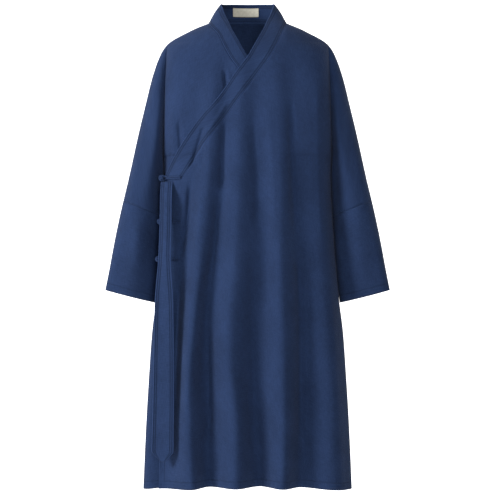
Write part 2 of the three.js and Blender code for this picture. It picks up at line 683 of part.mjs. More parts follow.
function frogPoint(x, z) {
  const at = Math.max(x, FROG_REST);
  const point = new THREE.Vector3(at, frontDepth(at, z, true), z);
  point.addScaledVector(frontNormal(at, z, true), FROG_LIFT);
  return point.setX(point.x + x - at);
}

function loop({ z, knot, end }) {
  const surface = (x, height) => frogPoint(x, z).setZ(height);
  const points = [];
  const legs = 5;
  const start = knot + NOSE + 6;
  for (let n = 0; n <= legs; n += 1) points.push(surface(mix(end, start, n / legs), z + CORD + LEG_GAP / 2));
  for (let n = 0; n <= 8; n += 1) {
    const turn = THREE.MathUtils.degToRad(mix(...NOSE_TURN, n / 8));
    points.push(surface(knot + NOSE * Math.cos(turn), z + NOSE * Math.sin(turn)));
  }
  for (let n = legs; n >= 0; n -= 1) points.push(surface(mix(end, start, n / legs), z - CORD - LEG_GAP / 2));
  const section = new THREE.Shape();
  section.absarc(0, 0, CORD, 0, 2 * Math.PI);
  const extrudePath = new THREE.CatmullRomCurve3(points, false, 'centripetal');
  return new THREE.ExtrudeGeometry(section, { curveSegments: 3, steps: 24, bevelEnabled: false, extrudePath });
}

function frontNormal(x, z, outer) {
  const step = 0.5;
  const slope = frontDepth(x + step, z, outer) - frontDepth(x - step, z, outer);
  const across = new THREE.Vector3(2 * step, slope, 0);
  const up = new THREE.Vector3(0, frontDepth(x, z + step, outer) - frontDepth(x, z - step, outer), 2 * step);
  return across.cross(up).normalize();
}

function knot({ z, knot: x }) {
  const centre = frogPoint(x, z);
  centre.y -= KNOT_PROUD;
  const footAt = KNOT_INSET - bodyHalf(z);
  const foot = new THREE.Vector3(footAt, frontDepth(footAt, z, false), z)
    .addScaledVector(frontNormal(footAt, z, false), CLOTH / 2 + SEAM_GAP + CORD);
  const reach = foot.distanceTo(centre);
  const profile = [new THREE.Vector2(0, reach), new THREE.Vector2(CORD, reach)];
  const first = Math.asin(CORD / KNOT);
  for (let n = 0; n <= 6; n += 1) {
    const angle = mix(first, Math.PI, n / 6);
    profile.push(new THREE.Vector2(n === 6 ? 0 : KNOT * Math.sin(angle), KNOT * Math.cos(angle)));
  }
  const geometry = new THREE.LatheGeometry(profile.reverse(), 12);
  const up = new THREE.Vector3(0, 1, 0);
  const turn = new THREE.Quaternion().setFromUnitVectors(up, foot.sub(centre).normalize());
  return geometry.applyQuaternion(turn).translate(centre.x, centre.y, centre.z);
}

// Assembly
const robe = new THREE.Group();

function add(name, geometry, color) {
  const material = new THREE.MeshStandardMaterial({ color, roughness: 0.9, metalness: 0 });
  const mesh = new THREE.Mesh(geometry, material);
  mesh.name = name;
  robe.add(mesh);
}

const sheets = {
  front_outer: frontOuter(),
  front_inner: frontInner(),
  back: back(),
  sleeve_end_left: sleeveEnd(1),
  sleeve_end_right: sleeveEnd(-1),
  collar: collar(),
};
openSeams(Object.values(sheets));
for (const [name, sheet] of Object.entries(sheets)) add(name, sheet.wall(), NAVY);

for (const [name, sheet, color] of [['neck_label', label(), CREAM], ['ribbon', ribbon(), NAVY_LIGHT]]) {
  sheet.measure();
  add(name, sheet.wall(), color);
}
FROGS.forEach((frog, i) => {
  add(`loop_${i + 1}`, loop(frog), NAVY_LIGHT);
  add(`knot_${i + 1}`, knot(frog), NAVY_LIGHT);
});

export default robe;
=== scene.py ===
import math
from collections import namedtuple
from functools import lru_cache

import bmesh
import bpy
from bpy.props import FloatProperty, FloatVectorProperty, PointerProperty
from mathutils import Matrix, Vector
from mathutils.geometry import interpolate_bezier


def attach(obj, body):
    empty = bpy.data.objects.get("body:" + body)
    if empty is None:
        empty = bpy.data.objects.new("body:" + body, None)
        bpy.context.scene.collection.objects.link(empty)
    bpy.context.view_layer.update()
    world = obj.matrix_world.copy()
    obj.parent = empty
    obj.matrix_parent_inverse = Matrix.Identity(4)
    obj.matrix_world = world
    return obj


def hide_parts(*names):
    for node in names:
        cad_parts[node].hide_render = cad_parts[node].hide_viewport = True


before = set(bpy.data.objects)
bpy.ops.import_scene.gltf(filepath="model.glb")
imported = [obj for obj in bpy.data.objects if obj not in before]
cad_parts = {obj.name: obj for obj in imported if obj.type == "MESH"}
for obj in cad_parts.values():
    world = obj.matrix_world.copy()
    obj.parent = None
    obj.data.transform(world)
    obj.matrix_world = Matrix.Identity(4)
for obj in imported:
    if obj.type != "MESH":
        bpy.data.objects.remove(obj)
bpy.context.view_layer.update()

bl_info = {
    "name": "Crossover Robe",
    "version": (1, 0, 0),
    "blender": (4, 5, 0),
    "location": "View3D > Sidebar > Robe",
    "description": "Builds a navy crossover robe with its band, sleeves, cord loops and ribbon",
    "category": "Object",
}

MM = 0.001

# Lengths of cut cloth in metres
SLEEVE_END = 0.226
BAND_WIDTH = 0.05

# Sizes in millimetres, as in the solid model
CLOTH = 1.5
BAND = 2.5
RIBBON = 2.0
LABEL = 1.0
SEAM_GAP = 0.3
LAYER_GAP = 7.5
NECK_HALF = 97
NECK_BACK = 66
NECK_RISE = 11
COLLAR_STAND = 46
COLLAR_BOW = 4
INNER_BAND_CUT = 13
BAND_CUT_FADE = 45
TIP_X, TIP_Z = 200, -52
UNDERARM_X, UNDERARM_Z = 210, -332
ARMHOLE_DEPTH = 34
ROLL_NECK, ROLL_TIP = 130, 70
BAND_END_Z = -385
INNER_BAND_END_Z = -210.8
SLIT_Z = -690
# Hems: the height in the middle, and how much lower the side seams hang
HEM_OUTER, HEM_INNER, HEM_BACK = (-1146, 12), (-1142, 16), (-1154, 4)
HEM_HALF = 257
INNER_EDGE_X = 46
OUTER_EDGE = (-204, -219)
BAND_FOOT_X = (-157, -178)
SECTION_POWER, SECTION_ROOT = 2.4, 2.2
RIBBON_POINT = 24
CORD = 1.7
KNOT = 5.5
NOSE = 6.3
KNOT_PROUD = 4.8
KNOT_INSET = 6
# A loop's nose turns round its knot between two angles; its legs lie a little apart
NOSE_TURN = (65, 295)
LOOP_NECK, CORD_APART, CORD_LIFT, EDGE_REST = 6, 0.15, 0.4, 4
# A knot's cord: turns round the ball, leaves, the angle it climbs to and how far it weaves
KNOT_TURNS, KNOT_LEAVES, KNOT_LIFT, KNOT_WEAVE, KNOT_STEPS = 3, 4, 54, 0.75, 132
STRAND, STRAND_CLEAR, SHANK_THINNER = 1.55, 0.1, 0.2


class Table:
    """Rows of numbers with named columns, read between the rows on smooth curves."""

    def __init__(self, columns, rows):
        self.names = columns[1:]
        self.falling = rows[-1][0] < rows[0][0]
        self.rows = [row[0] for row in rows]
        self.keys = [-place if self.falling else place for place in self.rows]
        self.columns = {name: [row[i + 1] for row in rows] for i, name in enumerate(self.names)}
        self.tangents = {name: self.slopes(values) for name, values in self.columns.items()}

    def slopes(self, values):
        steps = [
            (values[i + 1] - values[i]) / (self.keys[i + 1] - self.keys[i])
            for i in range(len(values) - 1)
        ]
        inner = [(before + after) / 2 for before, after in zip(steps, steps[1:])]
        return [steps[0], *inner, steps[-1]]

    def at(self, place, name):
        key = -place if self.falling else place
        keys = self.keys
        values = self.columns[name]
        if key <= keys[0]:
            return values[0]
        if key >= keys[-1]:
            return values[-1]
        i = 0
        while keys[i + 1] < key:
            i += 1
        width = keys[i + 1] - keys[i]
        t = (key - keys[i]) / width
        keep = (2 * t - 3) * t * t + 1
        slopes = self.tangents[name]
        start = t * (t - 1) ** 2 * width * slopes[i]
        end = t * t * (t - 1) * width * slopes[i + 1]
        return keep * values[i] + (1 - keep) * values[i + 1] + start + end


BODY_SECTIONS = Table(("z", "half", "front", "back", "wave", "slit"), [
    (-52, 200, 106, 98, 0, 0),
    (-150, 204, 108, 100, 3, 0),
    (-332, 210, 110, 95, 7, 0),
    (-385, 208, 109, 94, 9, 0),
    (-500, 213, 104, 93, 12, 0),
    (-690, 228, 96, 92, 18, 0),
    (-765, 237, 93, 91, 20, 6),
    (-880, 245, 90, 90, 23, 11),
    (-1000, 252, 88, 89, 25, 13),
    (-1160, 259, 85, 88, 27, 14),
])
SHOULDER_LINE = Table(("x", "z"), [
    (97, 0), (134, -15), (154, -25), (174, -35), (191, -45), (200, -52),
])
OVERARM_LINE = Table(("z", "x"), [
    (-52, 200), (-65, 210), (-85, 220), (-127, 235), (-202, 254), (-277, 272), (-390, 297),
    (-465, 315), (-540, 331), (-615, 345), (-665, 355),
])
# Vertical folds that the front's and the back's cloth falls in, in turn a valley and a ridge
FOLD_NAMES = (
    "valley1", "ridge1", "valley2", "ridge2", "valley3", "ridge3", "valley4", "ridge4",
)
FRONT_FOLDS = Table(("z", *FOLD_NAMES), [
    (-190, -124, -84, -51, -14, 21, 69, 114, 181),
    (-390, -136, -99, -61, -24, 29, 79, 121, 186),
    (-590, -159, -119, -79, -29, 36, 81, 134, 199),
    (-790, -181, -136, -104, -46, 21, 86, 139, 212),
    (-990, -201, -144, -99, -29, 24, 89, 139, 222),
    (-1160, -215, -136, -94, -28, 32, 86, 132, 228),
])
BACK_FOLDS = Table(("z", *FOLD_NAMES), [
    (-190, -150, -96, -52, -14, 30, 72, 112, 160),
    (-700, -178, -118, -64, -8, 34, 92, 140, 196),
    (-1160, -204, -140, -78, -16, 42, 102, 160, 222),
])
SLEEVE_UPPER = Table(("step", "outer", "inner", "depth", "back"), [
    (0, -52, -332, 34, 0), (1, -60, -334, 41, 0), (2, -76, -340, 49, 2), (3, -106, -352, 56, 7),
    (4, -160, -374, 61, 13), (5, -225, -400, 62, 18), (6, -295, -428, 62, 21),
    (7, -368, -454, 62, 22), (8, -443, -480, 62, 22),
])
SLEEVE_LOWER = Table(("step", "outer", "inner", "depth", "back"), [
    (0, -443, -480, 62, 22), (1, -486, -522, 60, 23), (2, -530, -566, 55, 23),
    (3, -575, -610, 48, 22), (4, -620, -653, 40, 20), (5, -665, -697, 31, 16),
])
# The sleeves' inner lines lie closer to the body here than in the solid model
SLEEVE_INNER = Table(("z", "x"), [
    (-332, 210), (-336, 210.8), (-345, 210.5), (-374, 207.8), (-428, 208.3), (-480, 211.2),
    (-566, 217.5), (-653, 226), (-697, 232),
])
BAND_SEAM = Table(("z", "x"), [
    (0, 97), (-12, 93.5), (-25.7, 87.5), (-60, 73.5), (-95, 55), (-120, 37), (-160, 6.5),
    (-190, -16.5), (-232, -46.5), (-267, -73.5), (-300, -99.5), (-341, -127),
    (BAND_END_Z, BAND_FOOT_X[0]),
])
BAND_EDGE = Table(("seam", "x", "y", "z"), [
    (0, 61.5, -10, 38), (-4.4, 56, -24, 21), (-17.4, 48, -43, 3), (-38, 39, -66, -20),
    (-65, 26, -88, -45), (-95, 12.5, -101, -70), (-120, 0, -106, -92.4), (-160, -29, -110, -131),
    (-190, -49.5, -110, -162), (-232, -80.5, -108, -203.5), (-267, -112.5, -104, -237.5),
    (-300, -137, -100, -269.5), (-341, -167, -90, -313.5), (-364, -186, -80, -346),
    (BAND_END_Z, OUTER_EDGE[0], -60, -384),
])
COLLAR_BACK = Table(("turn", "x", "y", "z"), [
    (0, 0, 58, 57), (15, 18, 56.5, 57), (30, 35, 51.5, 56.5), (45, 50, 42.5, 55),
    (60, 61, 28.5, 53), (75, 66, 8, 50.5), (90, 61.5, -10, 38),
])
NECK_LABEL = {"left": -37, "right": 28, "bottom": 26, "top": 47.5}
RIBBON_LINE = Table(("z", "x", "y", "width", "turn"), [
    (-396, -199, -61.4, 30, 9), (-430, -200, -80, 30, 9), (-495, -200.5, -90, 30, 8),
    (-590, -203, -93, 32, 7), (-680, -204, -93, 45, 6), (-800, -204.5, -91, 50, 5),
    (-950, -206, -89, 53, 5), (-1060, -208, -88, 55, 5),
])
# Each cord loop's height, the middle of its knot and the end that is sewn down
FROGS = ((-387.5, -209, -163), (-495, -213, -166), (-587.5, -218, -172))

# Soft creases that are finer than the folds: points in x and z, how wide, how far out of the cloth
# (below 0 is a trough), and the length over which each end dies away
OUTER_CREASES = (
    (((-108, -322), (-110, -339), (-110, -368)), 5, -6, 16),
    (((-57, -244), (-61, -322), (-62, -431)), 7, -10, 40),
    (((-69, -420), (-86, -577), (-106, -686)), 9, -8, 60),
    (((-92, -735), (-90, -881), (-96, -1060)), 11, -9, 70),
    (((-140, -392), (-147, -492), (-166, -594)), 7, -12, 40),
    (((-169, -630), (-174, -784), (-174, -980)), 8, -9, 60),
    (((-115, -407), (-118, -480), (-130, -577)), 8, 5, 40),
    (((-140, -640), (-146, -780), (-150, -980)), 9, 5, 60),
    (((-40, -322), (-42, -407), (-52, -565)), 8, 3, 40),
    (((9, -237), (18, -358), (23, -516)), 7, -5, 50),
    (((12, -560), (12, -800), (10, -1080)), 9, -5, 70),
    (((48, -200), (60, -395), (62, -589)), 9, 3, 60),
    (((103, -188), (108, -371), (118, -541)), 8, -8, 60),
    (((122, -560), (128, -711), (128, -1060)), 10, -11, 70),
    (((150, -600), (152, -720), (158, -900)), 9, -5, 70),
    (((171, -128), (174, -371), (184, -565)), 8, 3, 70),
    (((7, -102), (5, -112), (8, -129)), 3, 2, 6),
)
INNER_CREASES = (
    (((-56, -124), (-55, -150), (-50, -186)), 4, -7, 12),
    (((-46, -124), (-44, -150), (-39, -180)), 4, 3, 12),
    (((-168, -240), (-166, -290), (-160, -350)), 5, -8, 26),
    (((-187, -310), (-189, -340), (-188, -375)), 5, -6, 12),
    (((-183, -212), (-183, -273), (-184, -350)), 7, 4, 30),
    (((-199, -199), (-199, -284), (-201, -384)), 7, -7, 40),
)
BAND_CREASES = (
    (((-104, -258), (-124, -322), (-142, -380)), 6, -8, 22),
    (((-124, -354), (-134, -383), (-144, -405)), 3, 4, 8),
    (((-47, -201), (-71, -240), (-98, -276)), 5, 3, 18),
)


def mix(a, b, share):
    return a + (b - a) * share


def clamp(value):
    return min(1.0, max(0.0, value))


def ease(share):
    return share * share * (3 - 2 * share)


# The body: the same curves as in the solid model, which has their chords
@lru_cache(maxsize=None)
def body_half(z):
    if z >= TIP_Z:
        return TIP_X
    if z >= UNDERARM_Z:
        return mix(TIP_X, UNDERARM_X, (TIP_Z - z) / (TIP_Z - UNDERARM_Z))
    return BODY_SECTIONS.at(z, "half")


@lru_cache(maxsize=None)
def side_depth(z):
    if z > TIP_Z:
        return 0.0
    if z < SLIT_Z:
        return BODY_SECTIONS.at(z, "slit")
    if z < UNDERARM_Z:
        return 0.0
    height = (z - (TIP_Z + UNDERARM_Z) / 2) / ((TIP_Z - UNDERARM_Z) / 2)
    return ARMHOLE_DEPTH * math.sqrt(max(0.0, 1 - height * height))


def roundness(share):
    return (1 - min(1.0, abs(share)) ** SECTION_POWER) ** (1 / SECTION_ROOT)


@lru_cache(maxsize=None)
def fold_lines(front, z):
    folds = FRONT_FOLDS if front else BACK_FOLDS
    return [folds.at(z, name) for name in FOLD_NAMES]


def fold_wave(front, x, z, half):
    """+1 on a ridge and -1 in a valley, and level again at the body's sides."""
    if abs(x) >= half:
        return 0.0
    places = [-half, *fold_lines(front, z), half]
    levels = [0, *(1 if name.startswith("ridge") else -1 for name in FOLD_NAMES), 0]
    i = 0
    while places[i + 1] < x:
        i += 1
    return mix(levels[i], levels[i + 1], ease((x - places[i]) / (places[i + 1] - places[i])))


def roll_height(x):
    return mix(ROLL_NECK, ROLL_TIP, clamp((abs(x) - NECK_HALF) / (TIP_X - NECK_HALF)))


def shoulder_top(x):
    return 0.0 if abs(x) <= NECK_HALF else SHOULDER_LINE.at(abs(x), "z")


def roll_share(x, z):
    drop = clamp((shoulder_top(x) - z) / roll_height(x))
    return math.sqrt(1 - (1 - drop) ** 2)


def crease_depth(creases, x, z):
    """How far the finer creases move the cloth out at a point."""
    total = 0.0
    for points, width, depth, fade in creases:
        if z > points[0][1] + width or z < points[-1][1] - width:
            continue
        line = crease_line(points)
        middle = line.at(z, "x")
        if abs(x - middle) > 3 * width:
            continue
        ends = clamp((points[0][1] - z) / fade) * clamp((z - points[-1][1]) / fade)
        total += depth * ease(ends) * math.exp(-((x - middle) / width) ** 2)
    return total


@lru_cache(maxsize=None)
def crease_line(points):
    return Table(("z", "x"), [(z, x) for x, z in points])


def front_depth(x, z, outer, creases=()):
    z = round(z, 3)
    below = clamp((TIP_Z - z) / 60)
    half = body_half(z) + ((LAYER_GAP + 2) * below if outer and x < 0 else 0)
    depth = BODY_SECTIONS.at(z, "front") + (LAYER_GAP if outer else 0)
    bulge = roundness(x / half)
    wave = BODY_SECTIONS.at(z, "wave") * fold_wave(True, x, z, half) * bulge
    wave += crease_depth(creases, x, z) * bulge
    return -((depth * bulge + wave) * roll_share(x, z) + side_depth(z) * (1 - bulge))


def front_normal(x, z, outer):
    step = 0.5
    sideways = front_depth(x + step, z, outer) - front_depth(x - step, z, outer)
    upwards = front_depth(x, z + step, outer) - front_depth(x, z - step, outer)
    across = Vector((2 * step, sideways, 0))
    up = Vector((0, upwards, 2 * step))
    return across.cross(up).normalized()


def new_grid(mesh, rows, columns):
    """The vertices of a new grid, by their row, from below, and column."""
    made = bmesh.ops.create_grid(mesh, x_segments=columns, y_segments=rows, size=1)["verts"]
    return {
        (round((vert.co.y + 1) / 2 * rows), round((vert.co.x + 1) / 2 * columns)): vert
        for vert in made
    }


def new_piece(mesh, name, material):
    data = bpy.data.meshes.new(name)
    mesh.to_mesh(data)
    mesh.free()
    for polygon in data.polygons:
        polygon.use_smooth = True
    data.materials.append(material)
    piece = bpy.data.objects.new(name, data)
    bpy.context.scene.collection.objects.link(piece)
    return piece


def declare(piece, slot, nodes):
    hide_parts(*nodes)
    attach(piece, "root")


class Cloth:
    """One cut piece: grids of cloth without thickness, welded where they share an edge.

    Two UV maps hold real lengths in metres: Cloth follows the threads, and Edge holds the length
    along a hem or seam and the distance from it.
    """

    def __init__(self):
        self.mesh = bmesh.new()
        self.cloth = self.mesh.loops.layers.uv.new("Cloth")
        self.edge = self.mesh.loops.layers.uv.new("Edge")

    def patch(self, rows, columns, place, edge=None, across=None, down=None, turned=False):
        """place(row, column) gives a point in millimetres; rows run down, columns to the right."""
        upward = new_grid(self.mesh, rows, columns)
        grid = {(rows - i, j): vert for (i, j), vert in upward.items()}
        for key, vert in grid.items():
            vert.co = Vector(place(*key)) * MM
        u, v = self.lengths(grid, rows, columns, across, down)
        place_of = {vert: key for key, vert in grid.items()}
        for face in {face for vert in place_of for face in vert.link_faces}:
            for loop in face.loops:
                key = place_of[loop.vert]
                loop[self.cloth].uv = (u[key], v[key])
                loop[self.edge].uv = edge(*key, u[key], v[key]) if edge else (v[key], 1.0)
            if turned:
                face.normal_flip()
        return u, v

    @staticmethod
    def lengths(grid, rows, columns, across, down):
        """Lengths of cloth from the middle of each row and from the top of each column."""
        u = {}
        v = {}
        for i in range(rows + 1):
            total = across[i] if across else grid[i, 0].co.x
            for j in range(columns + 1):
                if j:
                    total += (grid[i, j].co - grid[i, j - 1].co).length
                u[i, j] = total
        for j in range(columns + 1):
            total = down[j] if down else 0.0
            for i in range(rows + 1):
                if i:
                    total += (grid[i, j].co - grid[i - 1, j].co).length
                v[i, j] = total
        return u, v

    def finish(self, name, material, thickness, slot, nodes, rounded=False):
        bmesh.ops.remove_doubles(self.mesh, verts=self.mesh.verts, dist=0.02 * MM)
        piece = new_piece(self.mesh, name, material)
        wall = piece.modifiers.new("Wall", "SOLIDIFY")
        wall.thickness = thickness * MM
        wall.offset = 0
        if rounded:
            soft = piece.modifiers.new("Soft edges", "SUBSURF")
            soft.levels = 1
            soft.render_levels = 1
        declare(piece, slot, nodes)
        return piece


# Rows of the panels: round the shoulder, down the chest, down to the band's end, and to the hem
ROLL_ROWS = 36
CHEST_ROWS = 40
WAIST_ROWS = 10
SKIRT_ROWS = 150
ARM_ROW = ROLL_ROWS + CHEST_ROWS
BAND_ROW = ARM_ROW + WAIST_ROWS
LAST_ROW = BAND_ROW + SKIRT_ROWS


def hem_height(hem, x):
    middle, sag = hem
    return middle - sag * (x / HEM_HALF) ** 2


def row_height(row, x, hem):
    top = shoulder_top(x)
    if row <= ROLL_ROWS:
        return top - roll_height(x) * (1 - math.cos(math.pi / 2 * row / ROLL_ROWS))
    if row <= ARM_ROW:
        share = 1 - (1 - (row - ROLL_ROWS) / CHEST_ROWS) ** 1.5
        return mix(top - roll_height(x), UNDERARM_Z, share)
    if row <= BAND_ROW:
        return mix(UNDERARM_Z, BAND_END_Z, (row - ARM_ROW) / WAIST_ROWS)
    return mix(BAND_END_Z, hem_height(hem, x), (row - BAND_ROW) / SKIRT_ROWS)


def settle(row, hem, x_at):
    """x and z of a point, which depend on each other near the shoulder."""
    z = row_height(row, 0, hem)
    x = 0.0
    for _ in range(7):
        x = x_at(z)
        z = row_height(row, x, hem)
    return x, round(z, 3)


def round_place(share):
    """Turn at a place across the body, so that equal turns are about equal lengths of cloth."""
    return math.copysign(math.asin(min(1.0, abs(share)) ** (SECTION_POWER / 2)), share)


def place_at(turn):
    return math.copysign(abs(math.sin(turn)) ** (2 / SECTION_POWER), turn)


def foot_x(z):
    return mix(*BAND_FOOT_X, clamp((BAND_END_Z - z) / (BAND_END_Z - HEM_OUTER[0])))


def outer_edge_x(z):
    return mix(*OUTER_EDGE, clamp((BAND_END_Z - z) / (BAND_END_Z - HEM_OUTER[0])))


def spread(left, right, z, share):
    """x at a share of the way between two lines, in even lengths round the body."""
    half = body_half(round(z, 3))
    return place_at(mix(round_place(left / half), round_place(right / half), share)) * half


# The strip's width, for its sewn row, and its cloth's length over the folds, for the threads
STRIP_WIDTH, STRIP_THREADS = 47, 60
OUTER_COLUMNS = 104
STRIP_COLUMNS = 18
INNER_COLUMNS = 84


def outer_point(row, column):
    def x_at(z):
        left = BAND_SEAM.at(z, "x") if z >= BAND_END_Z else foot_x(z)
        return spread(left, body_half(round(z, 3)), z, column / OUTER_COLUMNS)
    x, z = settle(row, HEM_OUTER, x_at)
    return x, front_depth(x, z, True, OUTER_CREASES), z


def strip_point(row, column):
    """The outer front beside the band's foot, out to its free edge."""
    share = column / STRIP_COLUMNS
    if row == 0:
        return band_surface(BAND_END_Z, 1 - share, True)
    x, z = settle(row + BAND_ROW, HEM_OUTER, lambda z: spread(outer_edge_x(z), foot_x(z), z, share))
    return x, front_depth(x, z, True, OUTER_CREASES), z


def inner_seam_x(z):
    return INNER_BAND_CUT * ease(clamp(-z / BAND_CUT_FADE)) - BAND_SEAM.at(z, "x")


def inner_point(row, column):
    def x_at(z):
        right = inner_seam_x(z) if z > INNER_BAND_END_Z else INNER_EDGE_X
        return spread(-body_half(round(z, 3)), min(right, INNER_EDGE_X), z, column / INNER_COLUMNS)
    x, z = settle(row, HEM_INNER, x_at)
    return x, front_depth(x, z, False, INNER_CREASES), z


def neck_seam(turn):
    angle = math.radians(turn)
    return NECK_HALF * math.sin(angle), NECK_BACK * math.cos(angle), NECK_RISE * math.cos(angle)


SHOULDER_COLUMNS = 26
NECK_COLUMNS = 60
BACK_COLUMNS = NECK_COLUMNS + 2 * SHOULDER_COLUMNS


@lru_cache(maxsize=None)
def back_top(column):
    if column < SHOULDER_COLUMNS:
        x = mix(TIP_X, NECK_HALF, column / SHOULDER_COLUMNS)
        return -x, 0.0, shoulder_top(x)
    if column > BACK_COLUMNS - SHOULDER_COLUMNS:
        x = mix(TIP_X, NECK_HALF, (BACK_COLUMNS - column) / SHOULDER_COLUMNS)
        return x, 0.0, shoulder_top(x)
    return neck_seam(mix(-90, 90, (column - SHOULDER_COLUMNS) / NECK_COLUMNS))


def back_point(row, column):
    top = back_top(column)
    lower = place_at(mix(-math.pi / 2, math.pi / 2, column / BACK_COLUMNS))
    turn = ease(clamp(row / BAND_ROW))

    def x_at(z):
        if row == 0:
            return top[0]
        return mix(top[0] / TIP_X, lower, turn) * body_half(round(z, 3))
    x, z = settle(row, HEM_BACK, x_at)
    roll = 1.0
    lift = 0.0
    half = body_half(z)
    depth = BODY_SECTIONS.at(z, "back")
    if row <= ROLL_ROWS:
        start = math.asin(min(1.0, top[1] / depth))
        angle = mix(start, math.pi / 2, row / ROLL_ROWS)
        if abs(top[0]) < NECK_HALF:
            z = round(top[2] - roll_height(x) * (1 - math.cos(angle) / math.cos(start)), 3)
        roll = math.sin(angle)
        short = top[1] * (1 - roundness(top[0] / TIP_X))
        lift = short * (1 - row / ROLL_ROWS) ** 2
    bulge = roundness(x / half)
    wave = BODY_SECTIONS.at(z, "wave") * fold_wave(False, x, z, half) * bulge * 0.8
    wave *= min(1.0, row / ROLL_ROWS)
    return x, (depth * bulge + wave) * roll + side_depth(z) * (1 - bulge) + lift, z


# Sleeves. The turn round a sleeve is 0 at the overarm seam and pi at the underarm seam.
UPPER_COLUMNS = 62
END_ROWS = 46
UPPER_STEPS, LOWER_STEPS = 8, 5


def armhole_turn(row):
    z = row_height(row, TIP_X, 0)
    share = (z - (TIP_Z + UNDERARM_Z) / 2) / ((TIP_Z - UNDERARM_Z) / 2)
    return math.acos(min(1.0, max(-1.0, share)))


# Folds round the sleeves: step along, turn round, how wide along and round, and how far out
UPPER_FOLDS = (
    (3.0, 2.2, 2.2, 0.3, -5), (4.6, 1.7, 2.6, 0.3, 4),
    (6.2, 2.35, 2.4, 0.3, -7), (6.6, 1.1, 2.4, 0.3, -3),
)
LOWER_FOLDS = (
    (0.6, 2.35, 1.6, 0.28, -6), (1.6, 1.55, 2.0, 0.3, 3),
    (2.6, 2.2, 1.8, 0.3, -4), (3.4, 1.0, 1.6, 0.35, -3),
)


def sleeve_point(sections, folds, step, turn, side, face):
    outer_z = sections.at(step, "outer")
    inner_z = sections.at(step, "inner")
    outer = (OVERARM_LINE.at(outer_z, "x"), outer_z)
    inner = (SLEEVE_INNER.at(inner_z, "x"), inner_z)
    share = (1 + math.cos(turn)) / 2
    x = mix(inner[0], outer[0], share)
    z = mix(inner[1], outer[1], share)
    depth = sections.at(step, "depth")
    seam = UPPER_STEPS if sections is SLEEVE_UPPER else 0
    keep = ease(clamp(abs(step - seam)))
    bend = keep * sum(
        out * math.exp(-((step - at) / long) ** 2 - ((turn - round_at) / wide) ** 2)
        for at, round_at, long, wide, out in folds
    )
    y = face * (depth + bend) * math.sin(turn) + sections.at(step, "back") * (1 - share)
    return side * x, y, z


def upper_sleeve(cloth, side, face, armhole, across):
    def place(row, column):
        if column == 0:
            return armhole(row)
        step = UPPER_STEPS * column / UPPER_COLUMNS
        return sleeve_point(SLEEVE_UPPER, UPPER_FOLDS, step, armhole_turn(row), side, face)
    cloth.patch(ARM_ROW, UPPER_COLUMNS, place, across=across, turned=side < 0)


# Distances from the hems and free edges, for the stitching and the painted highlight along them
def panel_edge(hem):
    def edge(row, column, u, v):
        if row <= BAND_ROW:
            return v, 1.0
        return u, (row_height(row, 0, hem) - hem[0]) * MM
    return edge


def front_outer(robe):
    cloth = Cloth()
    u, v = cloth.patch(LAST_ROW, OUTER_COLUMNS, outer_point, edge=panel_edge(HEM_OUTER))

    def strip_edge(row, column, across, down):
        z = row_height(row + BAND_ROW, 0, HEM_OUTER)
        side = column / STRIP_COLUMNS * STRIP_WIDTH * MM
        return min(((across, (z - HEM_OUTER[0]) * MM), (down, side)), key=lambda place: place[1])
    start = [u[row + BAND_ROW, 0] - STRIP_THREADS * MM for row in range(SKIRT_ROWS + 1)]
    cloth.patch(SKIRT_ROWS, STRIP_COLUMNS, strip_point, edge=strip_edge, across=start,
                down=[v[BAND_ROW, 0]] * (STRIP_COLUMNS + 1))
    ends = [u[row, OUTER_COLUMNS] for row in range(ARM_ROW + 1)]
    upper_sleeve(cloth, 1, -1, lambda row: outer_point(row, OUTER_COLUMNS), ends)
    piece = cloth.finish("front_outer_cloth", robe.cloth, CLOTH, "navy_cloth", ["front_outer"])


def front_inner(robe):
    cloth = Cloth()
    u, _ = cloth.patch(LAST_ROW, INNER_COLUMNS, inner_point, edge=panel_edge(HEM_INNER))
    starts = [u[row, 0] for row in range(ARM_ROW + 1)]
    upper_sleeve(cloth, -1, -1, lambda row: inner_point(row, 0), starts)
    piece = cloth.finish("front_inner_cloth", robe.cloth, CLOTH, "navy_cloth", ["front_inner"])


def back(robe):
    cloth = Cloth()
    u, _ = cloth.patch(LAST_ROW, BACK_COLUMNS, back_point, edge=panel_edge(HEM_BACK), turned=True)
    ends = [u[row, BACK_COLUMNS] for row in range(ARM_ROW + 1)]
    starts = [u[row, 0] for row in range(ARM_ROW + 1)]
    upper_sleeve(cloth, 1, 1, lambda row: back_point(row, BACK_COLUMNS), ends)
    upper_sleeve(cloth, -1, 1, lambda row: back_point(row, 0), starts)
    piece = cloth.finish("back_cloth", robe.cloth, CLOTH, "navy_cloth", ["back"])


def sleeve_end(robe, side, name, node):
    cloth = Cloth()
    turns = [armhole_turn(row) for row in range(ARM_ROW + 1)]
    around = [-turn for turn in turns] + turns[-2::-1]

    def place(row, column):
        turn = around[column]
        face = -1 if turn < 0 or column == 0 else 1
        step = LOWER_STEPS * row / END_ROWS
        return sleeve_point(SLEEVE_LOWER, LOWER_FOLDS, step, abs(turn), side, face)

    def edge(row, column, u, v):
        return u, (1 - row / END_ROWS) * SLEEVE_END
    cloth.patch(END_ROWS, len(around) - 1, place, edge=edge, turned=side > 0)
    piece = cloth.finish(name, robe.cloth, CLOTH, "navy_cloth", [node])


# The collar band, from its seam (share 0) to its free edge (share 1)
BAND_COLUMNS = 16
INNER_STATIONS = 66
BACK_STATIONS = 60
OUTER_STATIONS = 140
# The share of each side's stations in the shoulder's roll, and how much of the roll they cover
INNER_ROLL_SHARE, OUTER_ROLL_SHARE, ROLL_REACH = 0.36, 0.2, 0.92
# The band lies flat on the chest from this height down, over this length, and its bow fades out
SETTLE_Z, SETTLE_LENGTH = -50, 45
BOW_FADE = 30


